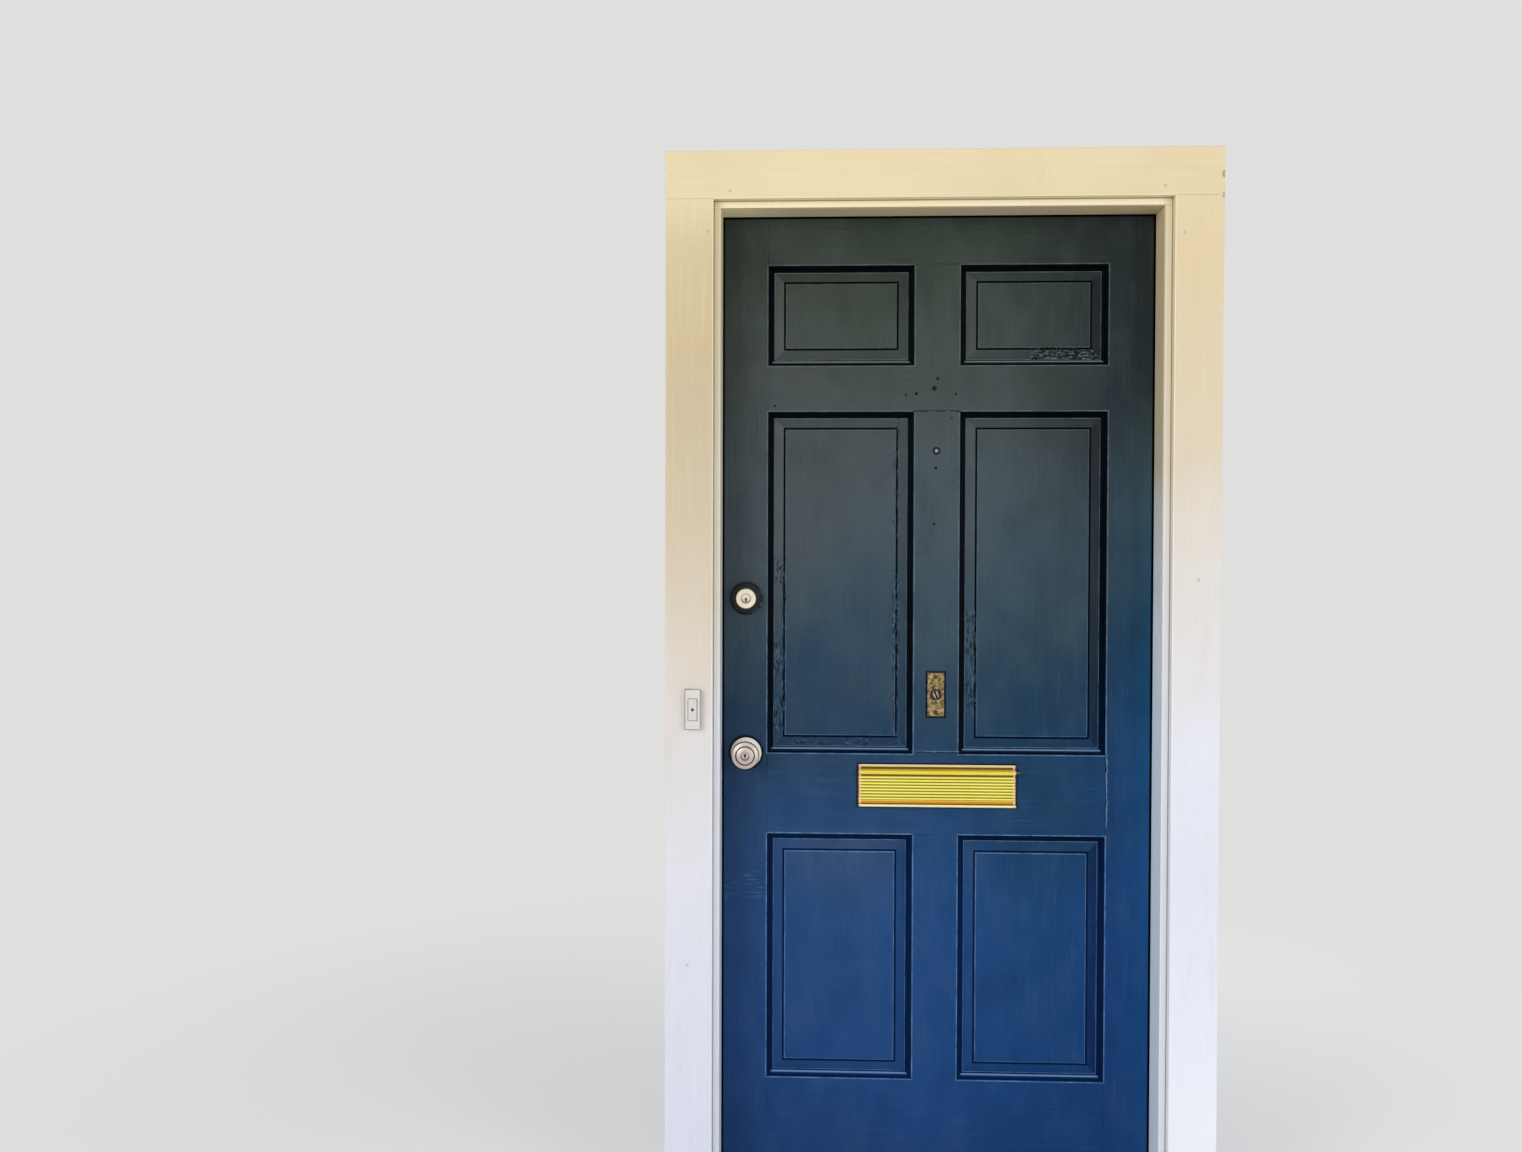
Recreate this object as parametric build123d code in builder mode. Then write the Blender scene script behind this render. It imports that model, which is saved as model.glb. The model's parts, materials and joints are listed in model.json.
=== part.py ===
from build123d import *

import os
from math import hypot

# Six-panel front door leaf hung in its frame of flat jambs and planted stops, in millimetres.
# X runs right as seen from the porch, Y into the house, Z up.
# The origin is on the underside of the sill, at the middle of the doorway, level with the jambs' front.

# Leaf, over the flat faces between the panel mouldings
leaf_width = 914.4
leaf_height = 2032.0
leaf_thickness = 44.45
leaf_arris = 1.5
stile_face = 104.5
mullion_face = 95.0
top_rail_face = 110.6
frieze_rail_face = 95.7
lock_rail_face = 169.9
bottom_rail_face = 215.2
top_panel_opening = 208.7
bottom_panel_opening = 516.0

# Moulded edge round each panel opening, and the groove behind it
moulding_width = 12.5
moulding_step = 1.2
moulding_depth = 9.8
moulding_nose = 1.0
ogee_swell = 0.7
groove_wall = 11.6

# Raised panel
panel_ease = 0.2
panel_play = 2.0
bevel_width = 22.5
bevel_top_depth = 5.6
quirk_width = 3.6
quirk_sink = 1.7
field_depth = 3.6

# Frame
edge_gap = 3.0
head_gap = 3.0
sill_gap = 3.0
stop_depth = 12.7
jamb_back = 19.05
jamb_reveal = 69.5
strip_space = 2.0
head_housing = 9.5
stop_arris = 1.2
stop_joint = 0.3

# Casing boards round the outside
casing_width = 96.8
casing_thickness = 19.05
casing_margin = 13.7
casing_arris = 2.0

# Sill and threshold
sill_height = 30.0
sill_nose_height = 21.0
sill_nose_reach = 45.0
sill_flat_start = 50.0
sill_nose_round = 6.0
drip_radius = 4.0
drip_inset = 14.0
threshold_height = 8.0
threshold_start = 54.0
threshold_width = 58.0
threshold_edge = 2.0
threshold_slope = 14.0
flute_radius = 1.2
flute_count = 5
flute_pitch = 5.0

# Weatherstrip on the stop's shoulder
strip_width = 9.0
strip_inset = 0.8
strip_clearance = 0.3

# Butt hinges
hinge_height = 101.6
hinge_leaf_reach = 45.0
hinge_thickness = 3.1
knuckle_radius = 6.35
knuckle_count = 5
knuckle_gap = 0.3
barrel_clearance = 0.7
pin_radius = 3.0
pin_clearance = 0.05
pin_head_radius = 5.2
pin_head_height = 3.0
pin_head_round = 1.2
top_hinge_drop = 178.0
bottom_hinge_rise = 279.0
hinge_screw_rises = (-38.0, -13.0, 13.0, 38.0)
hinge_screw_reaches = (19.0, 35.0)

# Flat-head wood screws
screw_head_radius = 4.1
screw_head_height = 2.4
screw_shank_radius = 1.9
screw_length = 19.0
drive_slot_width = 1.2
drive_slot_depth = 0.9
drive_slot_turn = 37.0

# Lockset and deadbolt: places, bores and edge plates
backset = 60.3
knob_height = 901.0
bolt_height = 1226.0
cross_bore_radius = 27.0
faceplate_width = 25.4
faceplate_height = 57.15
faceplate_thickness = 2.4
faceplate_screw_spacing = 42.0
case_bore_ease = 0.2

# Knobs and roses, outside and inside alike
rose_radius = 32.5
rose_edge = 1.6
rose_step_radius = 28.8
rose_step_height = 3.8
rose_step_width = 0.9
rose_roll_bow = 0.6
rose_crown_bow = 0.8
rose_crown_radius = 18.5
rose_height = 9.0
neck_radius = 14.0
neck_clearance = 0.3
neck_start = 1.0
neck_end = 19.0
knob_waist_radius = 22.5
knob_waist = 32.0
knob_neck_bow = 2.2
knob_back_bow = 0.8
knob_radius = 29.0
knob_rim_start = 37.0
knob_rim_end = 40.5
knob_shoulder_radius = 25.5
knob_shoulder = 44.2
knob_shoulder_bow = 0.7
knob_ring_radius = 20.4
knob_face = 46.0
ring_groove_width = 1.7
ring_groove_depth = 1.7
knob_crown = 48.4
knob_disc_bow = 0.5
plug_seat_radius = 9.6
plug_seat_sink = 1.8
spindle_radius = 6.0
spindle_bore_radius = 4.2
spindle_reach = 22.0
spindle_ease = 0.05

# Key plugs, tail bars and the turn button inside
plug_radius = 6.3
plug_clearance = 0.3
plug_length = 13.0
plug_proud = 0.8
keyway_width = 1.8
keyway_drop = 4.4
keyway_depth = 6.0
keyway_eye_radius = 2.0
tail_width = 2.5
tail_height = 5.0
tail_ease = 0.1
tail_bite = 8.0
button_length = 16.0
button_width = 5.0
button_proud = 9.0
button_clearance = 0.4

# Spring latch
latch_width = 11.0
latch_height = 16.0
latch_length = 45.0
latch_projection = 12.5
latch_travel = 12.0
latch_bevel = 10.4
latch_case_radius = 12.0
channel_clearance = 0.3
channel_end_room = 1.0
case_tongue_width = 16.0
case_tongue_height = 20.0
case_tongue_reach = 10.0
hub_clearance = 0.4

# Deadbolt
bolt_width = 12.7
bolt_bar_height = 19.0
bolt_length = 48.0
bolt_nose_chamfer = 1.0
bolt_case_radius = 12.5
bolt_hub_radius = 3.6
collar_radius = 31.5
collar_edge = 2.0
collar_crown_radius = 24.6
collar_height = 20.0
collar_round = 1.2
collar_side_bow = 0.9
collar_round_bow = 0.3
collar_ease = 0.4
cylinder_radius = 21.5
cylinder_height = 22.0
cylinder_rim_round = 1.4
cylinder_rim_bow = 0.4
cylinder_ring_radius = 18.6
cylinder_dish = 0.7
cylinder_flange_radius = 28.8
cylinder_flange_thickness = 1.6
inner_rose_radius = 30.0
inner_rose_edge = 2.0
inner_rose_crown_radius = 26.0
inner_rose_height = 6.0
inner_rose_bow = 0.8
thumb_stem_radius = 5.0
thumb_length = 34.0
thumb_width = 8.0
thumb_proud = 17.0
thumb_taper = 4.0
thumb_round = 1.5
machine_screw_radius = 2.0
machine_screw_spacing = 32.0
machine_screw_bite = 6.0
machine_head_radius = 4.0
machine_head_height = 2.0
machine_head_proud = 1.2
machine_head_round = 0.6

# Strike plates and their pockets in the jamb
strike_height = 57.15
strike_width = 28.0
strike_thickness = 1.6
strike_screw_spacing = 42.0
latch_pocket_width = 17.0
latch_pocket_height = 24.0
latch_pocket_depth = 14.0
bolt_pocket_width = 19.0
bolt_pocket_height = 28.0
strike_lip_height = 30.0
strike_lip_reach = 7.0
strike_lip_fall = 3.2
strike_lip_bow = 0.8

# Mail slot in the lock rail
mail_offset = 3.0
mail_top = 879.0
mail_width = 330.0
mail_height = 88.0
mail_plate_thickness = 1.6
mail_fold_height = 1.6
mail_fold_proud = 2.4
letter_margin = 27.0
letter_height = 36.0
letter_sink = 2.0
rail_slot_margin = 2.0
mail_screw_inset = 12.0
flap_axis_drop = 15.2
flap_thickness = 1.8
flap_barrel_radius = 4.75
flap_pin_radius = 1.6
flap_pin_clearance = 0.05
flap_pin_overhang = 7.0
flap_clearance = 0.3
flap_ear_thickness = 2.0
flap_ear_gap = 0.3
flap_edge_inset = 0.6
reed_pitch = 6.35
reed_radius = 1.7
first_reed_drop = 12.0
cove_rise = 13.3
cove_bow = 1.5
lip_radius = 3.1
lip_neck = 5.0
lip_forward = 4.5
inner_flap_lap = 5.0
inner_flap_cover = 13.0
inner_bead_radius = 2.0

# Old turn-bell plate on the middle mullion
turn_plate_width = 35.6
turn_plate_height = 92.0
turn_plate_thickness = 1.5
turn_plate_rise = 1026.0
turn_plate_arris = 0.6
turn_boss_radius = 10.0
turn_boss_height = 2.4
turn_boss_wall = 1.8
turn_boss_sink = 1.6
turn_slot_length = 13.0
turn_slot_width = 3.2
turn_slot_tilt = 112.0
turn_screw_spacing = 74.0
turn_screw_radius = 1.6
turn_screw_head_radius = 2.6
turn_screw_head_height = 1.4
turn_screw_length = 14.0

# Bell push on the left casing
bell_width = 30.0
bell_height = 80.0
bell_depth = 11.0
bell_round = 1.6
bell_inset = 39.5
bell_rise = 1003.0
push_width = 17.4
push_height = 43.4
push_depth = 7.0
push_proud = 2.0
push_travel = 1.5
push_gap = 0.3
push_round = 0.8
push_dot_radius = 2.0
push_dot_depth = 0.8

# How far a cutter runs past the face that it cuts
overrun = 1.0

# Datums worked out from the sizes above
leaf_half = leaf_width / 2
panel_edge = leaf_half - stile_face
panel_opening = (leaf_width - 2 * stile_face - mullion_face) / 2
mullion_half = mullion_face / 2
leaf_front = jamb_reveal + strip_space
leaf_back = leaf_front + leaf_thickness
leaf_middle = leaf_front + leaf_thickness / 2
jamb_depth = leaf_back
rabbet_x = leaf_half + edge_gap
stop_x = rabbet_x - stop_depth
jamb_out = rabbet_x + jamb_back
leaf_bottom = sill_height + threshold_height + sill_gap
leaf_top = leaf_bottom + leaf_height
rabbet_z = leaf_top + head_gap
stop_z = rabbet_z - stop_depth
head_top = rabbet_z + jamb_back
casing_in = stop_x + casing_margin
casing_out = casing_in + casing_width
casing_low = stop_z + casing_margin
casing_top = casing_low + casing_width

bottom_panel_low = leaf_bottom + bottom_rail_face
lock_rail_low = bottom_panel_low + bottom_panel_opening
middle_panel_low = lock_rail_low + lock_rail_face
top_panel_high = leaf_top - top_rail_face
top_panel_low = top_panel_high - top_panel_opening
middle_panel_high = top_panel_low - frieze_rail_face
middle_panel_opening = middle_panel_high - middle_panel_low

lock_x = -leaf_half + backset
knob_z = leaf_bottom + knob_height
bolt_z = leaf_bottom + bolt_height
plug_mouth = plug_radius + plug_clearance
knob_plug_face = knob_crown - plug_seat_sink + plug_proud
bolt_plug_face = cylinder_height + plug_proud
thumb_start = inner_rose_height + machine_head_proud + button_clearance

pin_x = leaf_half + edge_gap / 2
pin_y = leaf_back + barrel_clearance + knuckle_radius
top_hinge = leaf_top - top_hinge_drop - hinge_height / 2
bottom_hinge = leaf_bottom + bottom_hinge_rise + hinge_height / 2
hinge_centres = {"top": top_hinge, "middle": (top_hinge + bottom_hinge) / 2, "bottom": bottom_hinge}

mail_z = leaf_bottom + mail_top
mail_low = mail_z - mail_height
mail_left = mail_offset - mail_width / 2
mail_right = mail_offset + mail_width / 2
letter_z = mail_z - mail_height / 2 - letter_sink
letter_width = mail_width - 2 * letter_margin
flap_axis_z = mail_z - flap_axis_drop
flap_stand = mail_plate_thickness + flap_clearance + flap_barrel_radius
flap_length = mail_height - flap_axis_drop
cove_drop = flap_length - cove_rise
reed_count = int((cove_drop - first_reed_drop - reed_radius) / reed_pitch) + 1
inner_flap_width = letter_width + 2 * inner_flap_lap
inner_flap_length = flap_axis_z - letter_z + letter_height / 2 + inner_flap_cover

turn_plate_z = leaf_bottom + turn_plate_rise
bell_x = -casing_in - bell_inset
bell_z = leaf_bottom + bell_rise
bell_front = -casing_thickness - bell_depth

from_low_end = (Align.CENTER, Align.CENTER, Align.MIN)
porch_ward = (0, -1, 0)
house_ward = (0, 1, 0)


def block(one, other, mode=Mode.ADD):
    """A rectangular block between two opposite corners."""
    size = [abs(b - a) for a, b in zip(one, other)]
    middle = [(a + b) / 2 for a, b in zip(one, other)]
    with Locations(tuple(middle)):
        Box(*size, mode=mode)


def bar(x_from, x_to, width, height, centre_z, mode=Mode.ADD):
    """A bar along X, centred in the leaf's thickness and on a height."""
    block(
        (x_from, leaf_middle - width / 2, centre_z - height / 2),
        (x_to, leaf_middle + width / 2, centre_z + height / 2),
        mode=mode,
    )


def rod(start, direction, radius, length, mode=Mode.ADD):
    """A round bar from a point, along a direction; a bore where the mode subtracts."""
    with Locations(Plane(origin=start, z_dir=direction)):
        Cylinder(radius, length, align=from_low_end, mode=mode)


def bowed(start, end, rise):
    """The middle point of an arc from start to end that bows to its left by rise."""
    run = (end[0] - start[0], end[1] - start[1])
    length = hypot(*run)
    return (
        (start[0] + end[0]) / 2 - run[1] / length * rise,
        (start[1] + end[1]) / 2 + run[0] / length * rise,
    )


def flat_head_screws(kinds, slotted):
    """Countersunk screws along the Z of their seats, as separate solids; unslotted they are the holes."""
    with BuildPart() as group:
        for seats, head_radius, head_height, shank_radius, length in kinds:
            places = [
                seat.location * Rotation(0, 0, drive_slot_turn * index) for index, seat in enumerate(seats)
            ]
            with Locations(*places):
                Cone(head_radius, shank_radius, head_height, align=from_low_end)
                Cylinder(shank_radius, length, align=from_low_end)
                if slotted:
                    Box(
                        2 * (head_radius + overrun),
                        drive_slot_width,
                        2 * drive_slot_depth,
                        mode=Mode.SUBTRACT,
                    )
    return group


# Screws come first, because the plates and the wood are cut to take them

def hinge_seats(face, into):
    """Four staggered screw seats in each of the three hinge leaves that lie on one face."""
    seats = []
    for centre in hinge_centres.values():
        for index, rise in enumerate(hinge_screw_rises):
            reach = hinge_screw_reaches[index % 2]
            seats.append(Plane(origin=(face, pin_y - reach, centre + rise), z_dir=(into, 0, 0)))
    return seats


def edge_seats(face, into, spacing):
    """Two screw seats in the edge plate of the latch and two in that of the deadbolt."""
    return [
        Plane(origin=(face, leaf_middle, centre + way * spacing / 2), z_dir=(into, 0, 0))
        for centre in (knob_z, bolt_z)
        for way in (-1, 1)
    ]


def mail_seats(face, direction):
    """A screw seat at each end of a mail plate, beside the letter opening."""
    reach = mail_width / 2 - mail_screw_inset
    return [
        Plane(origin=(mail_offset + way * reach, face, letter_z), z_dir=direction)
        for way in (-1, 1)
    ]


turn_plate_seats = [
    Plane(
        origin=(0, leaf_front - turn_plate_thickness, turn_plate_z + way * turn_screw_spacing / 2),
        z_dir=house_ward,
    )
    for way in (-1, 1)
]

wood_screw = (screw_head_radius, screw_head_height, screw_shank_radius, screw_length)
turn_screw = (turn_screw_head_radius, turn_screw_head_height, turn_screw_radius, turn_screw_length)

leaf_seats = (
    hinge_seats(leaf_half, -1)
    + edge_seats(-leaf_half, 1, faceplate_screw_spacing)
    + mail_seats(leaf_front - mail_plate_thickness, house_ward)
    + mail_seats(leaf_back + mail_plate_thickness, porch_ward)
)
frame_seats = hinge_seats(rabbet_x, 1) + edge_seats(-rabbet_x, -1, strike_screw_spacing)

leaf_fixings = ((leaf_seats, *wood_screw), (turn_plate_seats, *turn_screw))
frame_fixings = ((frame_seats, *wood_screw),)

leaf_screws = flat_head_screws(leaf_fixings, slotted=True)
leaf_screw_holes = flat_head_screws(leaf_fixings, slotted=False)
frame_screws = flat_head_screws(frame_fixings, slotted=True)
frame_screw_holes = flat_head_screws(frame_fixings, slotted=False)

with BuildPart() as bolt_screws:
    head_face = leaf_back + inner_rose_height + machine_head_proud
    for way in (-1, 1):
        start = (lock_x, head_face, bolt_z + way * machine_screw_spacing / 2)
        rod(start, porch_ward, machine_head_radius, machine_head_height)
        rod(start, porch_ward, machine_screw_radius, head_face - leaf_front + machine_screw_bite)
    fillet(bolt_screws.edges().group_by(Axis.Y)[-1], machine_head_round)
    for way in (-1, 1):
        with Locations((lock_x, head_face, bolt_z + way * machine_screw_spacing / 2)):
            Box(
                2 * (machine_head_radius + overrun),
                2 * drive_slot_depth,
                drive_slot_width,
                mode=Mode.SUBTRACT,
            )


# Sill with its weathered top, horns under the casings and a drip groove

with BuildPart() as sill:
    with BuildSketch(Plane.YZ.offset(-casing_out)):
        with BuildLine():
            Polyline(
                (-sill_nose_reach, 0),
                (-sill_nose_reach, sill_nose_height),
                (sill_flat_start, sill_height),
                (jamb_depth, sill_height),
                (jamb_depth, 0),
                close=True,
            )
        make_face()
    extrude(amount=2 * casing_out)
    fillet(sill.edges().filter_by(Axis.X).group_by(Axis.Y)[0].sort_by(Axis.Z)[-1], sill_nose_round)
    for side in (-1, 1):
        block(
            (side * jamb_out, 0, -overrun),
            (side * (casing_out + overrun), jamb_depth + overrun, sill_height + overrun),
            mode=Mode.SUBTRACT,
        )
    drip_start = (-casing_out - overrun, drip_inset - sill_nose_reach, 0)
    rod(drip_start, (1, 0, 0), drip_radius, 2 * (casing_out + overrun), mode=Mode.SUBTRACT)


# Flat jambs, with the head housed into the sides

def side_jamb(side):
    """One upright board of the frame, standing on the sill and housed for the head."""
    with BuildPart() as jamb:
        block((side * rabbet_x, 0, 0), (side * jamb_out, jamb_depth, head_top))
        block(
            (side * (rabbet_x + head_housing), -overrun, rabbet_z),
            (side * (rabbet_x - overrun), jamb_depth + overrun, head_top + overrun),
            mode=Mode.SUBTRACT,
        )
        add(sill.part, mode=Mode.SUBTRACT)
    return jamb


with BuildPart() as jamb_hinge:
    add(side_jamb(1).part)
    for centre in hinge_centres.values():
        block(
            (rabbet_x - overrun, pin_y - hinge_leaf_reach, centre - hinge_height / 2),
            (rabbet_x + hinge_thickness, jamb_depth + overrun, centre + hinge_height / 2),
            mode=Mode.SUBTRACT,
        )
    add(frame_screw_holes.part, mode=Mode.SUBTRACT)

with BuildPart() as jamb_lock:
    add(side_jamb(-1).part)
    for centre, plate_back in ((knob_z, jamb_depth + overrun), (bolt_z, leaf_middle + strike_width / 2)):
        block(
            (-rabbet_x + overrun, leaf_middle - strike_width / 2, centre - strike_height / 2),
            (-rabbet_x - strike_thickness, plate_back, centre + strike_height / 2),
            mode=Mode.SUBTRACT,
        )
    latch_pocket_end = -rabbet_x - latch_pocket_depth
    bolt_pocket_end = -jamb_out - overrun
    bar(-rabbet_x, latch_pocket_end, latch_pocket_width, latch_pocket_height, knob_z, mode=Mode.SUBTRACT)
    bar(-rabbet_x, bolt_pocket_end, bolt_pocket_width, bolt_pocket_height, bolt_z, mode=Mode.SUBTRACT)
    add(frame_screw_holes.part, mode=Mode.SUBTRACT)

with BuildPart() as jamb_head:
    block(
        (-rabbet_x - head_housing, 0, rabbet_z),
        (rabbet_x + head_housing, jamb_depth, head_top),
    )


# Stops planted on the jambs: one across the head, and one up each side, butted under it

with BuildPart() as door_stops:
    block((-rabbet_x, 0, stop_z), (rabbet_x, jamb_reveal, rabbet_z))
    fillet(door_stops.edges().filter_by(Axis.X).group_by(Axis.Z)[0], stop_arris)
    for side in (-1, 1):
        block((side * rabbet_x, 0, 0), (side * stop_x, jamb_reveal, stop_z - stop_joint))
    upright_edges = door_stops.edges().filter_by(Axis.Z).group_by(Axis.X)
    fillet(upright_edges[1] + upright_edges[-2], stop_arris)
    add(sill.part, mode=Mode.SUBTRACT)

with BuildPart() as threshold:
    threshold_end = threshold_start + threshold_width
    with BuildSketch(Plane.YZ.offset(-rabbet_x)):
        with BuildLine():
            Polyline(
                (threshold_start, sill_height),
                (threshold_start, sill_height + threshold_edge),
                (threshold_start + threshold_slope, sill_height + threshold_height),
                (threshold_end - threshold_slope, sill_height + threshold_height),
                (threshold_end, sill_height + threshold_edge),
                (threshold_end, sill_height),
                close=True,
            )
        make_face()
        flute_middle = (threshold_start + threshold_end) / 2
        with Locations((flute_middle, sill_height + threshold_height)):
            with GridLocations(flute_pitch, flute_pitch, flute_count, 1):
                Circle(flute_radius, mode=Mode.SUBTRACT)
    extrude(amount=2 * rabbet_x)
    add(door_stops.part, mode=Mode.SUBTRACT)

with BuildPart() as weatherstrip:
    strip_in = stop_x + strip_inset
    strip_low = leaf_bottom
    strip_high = stop_z + strip_inset
    with BuildSketch(Plane.XZ.offset(-jamb_reveal)):
        with BuildLine():
            Polyline(
                (-strip_in, strip_low),
                (-strip_in, strip_high),
                (strip_in, strip_high),
                (strip_in, strip_low),
                (strip_in + strip_width, strip_low),
                (strip_in + strip_width, strip_high + strip_width),
                (-strip_in - strip_width, strip_high + strip_width),
                (-strip_in - strip_width, strip_low),
                close=True,
            )
        make_face()
    extrude(amount=strip_clearance - strip_space)


# Casing boards, butted: the head board lies across the tops of the side boards

def side_casing(side):
    """One upright casing board, standing on the sill's horn."""
    with BuildPart() as board:
        block((side * casing_in, 0, 0), (side * casing_out, -casing_thickness, casing_low))
        fillet(board.edges().filter_by(Axis.Z).group_by(Axis.Y)[0], casing_arris)
        add(sill.part, mode=Mode.SUBTRACT)
    return board


casing_left = side_casing(-1)
casing_right = side_casing(1)

with BuildPart() as casing_head:
    block((-casing_out, 0, casing_low), (casing_out, -casing_thickness, casing_top))
    fillet(casing_head.edges().filter_by(Axis.X).group_by(Axis.Y)[0], casing_arris)


# Leaf members: flat faces with a moulded edge and a panel groove on each side that takes a panel

def moulded_edge(arris, toward, face, inward):
    """One moulded edge, from the arris on the face down its ogee to the bottom of the panel groove."""
    width = moulding_width - moulding_nose
    start = (0, moulding_step)
    waist = (width / 2, (moulding_step + moulding_depth) / 2)
    foot = (width, moulding_depth)

    def at(point):
        return (arris + toward * point[0], face + inward * point[1])

    nose = (moulding_width, moulding_depth)
    Line(at((0, 0)), at(start))
    ThreePointArc(at(start), at(bowed(start, waist, -ogee_swell)), at(waist))
    ThreePointArc(at(waist), at(bowed(waist, foot, ogee_swell)), at(foot))
    Polyline(at(foot), at(nose), at((moulding_width, groove_wall)), at((0, groove_wall)))


def member(plane, length, low, high, low_moulded, high_moulded):
    """A stile, rail or mullion between two arrises, drawn across its width and run along its length."""
    with BuildPart() as wood:
        with BuildSketch(plane):
            with BuildLine():
                Line((low, leaf_front), (high, leaf_front))
                Line((low, leaf_back), (high, leaf_back))
                for arris, toward, moulded in ((low, -1, low_moulded), (high, 1, high_moulded)):
                    if moulded:
                        moulded_edge(arris, toward, leaf_front, 1)
                        moulded_edge(arris, toward, leaf_back, -1)
                        Line((arris, leaf_front + groove_wall), (arris, leaf_back - groove_wall))
                    else:
                        Line((arris, leaf_front), (arris, leaf_back))
            make_face()
        extrude(amount=length)
    return wood


upright = Plane.XY.offset(leaf_bottom)

with BuildPart() as stile_lock:
    add(member(upright, leaf_height, -leaf_half, -panel_edge, False, True).part)
    fillet(stile_lock.edges().filter_by(Axis.Z).group_by(Axis.X)[0], leaf_arris)
    for centre, case_radius in ((knob_z, latch_case_radius), (bolt_z, bolt_case_radius)):
        rod(
            (lock_x, leaf_front - overrun, centre),
            house_ward,
            cross_bore_radius,
            leaf_thickness + 2 * overrun,
            mode=Mode.SUBTRACT,
        )
        edge_start = (-leaf_half - overrun, leaf_middle, centre)
        rod(edge_start, (1, 0, 0), case_radius + case_bore_ease, backset + overrun, mode=Mode.SUBTRACT)
        plate_floor = -leaf_half + faceplate_thickness
        bar(-leaf_half - overrun, plate_floor, faceplate_width, faceplate_height, centre, mode=Mode.SUBTRACT)
    add(leaf_screw_holes.part, mode=Mode.SUBTRACT)

with BuildPart() as stile_hinge:
    add(member(upright, leaf_height, panel_edge, leaf_half, True, False).part)
    fillet(stile_hinge.edges().filter_by(Axis.Z).group_by(Axis.X)[-1], leaf_arris)
    for centre in hinge_centres.values():
        block(
            (leaf_half + overrun, pin_y - hinge_leaf_reach, centre - hinge_height / 2),
            (leaf_half - hinge_thickness, leaf_back + overrun, centre + hinge_height / 2),
            mode=Mode.SUBTRACT,
        )
    add(leaf_screw_holes.part, mode=Mode.SUBTRACT)


def rail(low, high, low_moulded, high_moulded):
    """A rail coped over the stiles' moulding, with tongues that fill their grooves."""
    plane = Plane(origin=(panel_edge, 0, 0), x_dir=(0, 0, 1), z_dir=(-1, 0, 0))
    with BuildPart() as wood:
        add(member(plane, 2 * panel_edge, low, high, low_moulded, high_moulded).part)
        add(stile_lock.part, mode=Mode.SUBTRACT)
        add(stile_hinge.part, mode=Mode.SUBTRACT)
    return wood


rail_top = rail(top_panel_high, leaf_top, True, False)
rail_frieze = rail(middle_panel_high, top_panel_low, True, True)
rail_bottom = rail(leaf_bottom, bottom_panel_low, False, True)

with BuildPart() as rail_lock:
    add(rail(lock_rail_low, middle_panel_low, True, True).part)
    slot_half = letter_width / 2 + rail_slot_margin
    slot_rise = letter_height / 2 + rail_slot_margin
    block(
        (mail_offset - slot_half, leaf_front - overrun, letter_z - slot_rise),
        (mail_offset + slot_half, leaf_back + overrun, letter_z + slot_rise),
        mode=Mode.SUBTRACT,
    )
    add(leaf_screw_holes.part, mode=Mode.SUBTRACT)


def mullion(low, height, below, above):
    """A short upright between two rails, coped over their mouldings."""
    with BuildPart() as wood:
        add(member(Plane.XY.offset(low), height, -mullion_half, mullion_half, True, True).part)
        add(below.part, mode=Mode.SUBTRACT)
        add(above.part, mode=Mode.SUBTRACT)
    return wood


mullion_top = mullion(top_panel_low, top_panel_opening, rail_frieze, rail_top)
mullion_bottom = mullion(bottom_panel_low, bottom_panel_opening, rail_bottom, rail_lock)

with BuildPart() as mullion_middle:
    add(mullion(middle_panel_low, middle_panel_opening, rail_lock, rail_frieze).part)
    add(leaf_screw_holes.part, mode=Mode.SUBTRACT)


def raised_panel(side, low, opening):
    """A panel free in its grooves, raised on both faces by a cutter run round its four edges."""
    centre_x = side * (mullion_half + panel_opening / 2)
    half_width = panel_opening / 2 - panel_play
    bottom = low + panel_play
    top = low + opening - panel_play
    half_thickness = leaf_thickness / 2 - field_depth
    bevel_foot = moulding_width - panel_play
    bevel_top = bevel_foot + bevel_width
    with BuildPart() as panel:
        block(
            (centre_x - half_width, leaf_middle - half_thickness, bottom),
            (centre_x + half_width, leaf_middle + half_thickness, top),
        )
        with BuildLine(Plane.XZ.offset(-leaf_middle)) as round_the_edge:
            Polyline(
                (centre_x, bottom),
                (centre_x + half_width, bottom),
                (centre_x + half_width, top),
                (centre_x - half_width, top),
                (centre_x - half_width, bottom),
                (centre_x, bottom),
            )
        for face in (1, -1):
            def cut(inset, depth):
                return (inset, face * (leaf_thickness / 2 - depth))

            across = Plane(origin=(centre_x, leaf_middle, bottom), x_dir=(0, 0, 1), z_dir=(1, 0, 0))
            shoulder = (bevel_top, bevel_top_depth)
            field = (bevel_top + quirk_width, field_depth)
            with BuildSketch(across) as raising:
                with BuildLine():
                    Polyline(
                        cut(*field),
                        cut(field[0], field_depth - overrun),
                        cut(-overrun, field_depth - overrun),
                        cut(-overrun, groove_wall + panel_ease),
                        cut(bevel_foot, groove_wall + panel_ease),
                        cut(*shoulder),
                    )
                    ThreePointArc(cut(*shoulder), cut(*bowed(shoulder, field, quirk_sink)), cut(*field))
                make_face()
            sweep(
                sections=raising.sketch,
                path=round_the_edge.line,
                transition=Transition.RIGHT,
                mode=Mode.SUBTRACT,
            )
    return panel


panels = {}
for row, row_low, row_opening in (
    ("top", top_panel_low, top_panel_opening),
    ("middle", middle_panel_low, middle_panel_opening),
    ("bottom", bottom_panel_low, bottom_panel_opening),
):
    for side_name, side in (("left", -1), ("right", 1)):
        panels[f"panel_{row}_{side_name}"] = raised_panel(side, row_low, row_opening)


# Butt hinges: plates let in flush, knuckles on the house side, and loose pins

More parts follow.
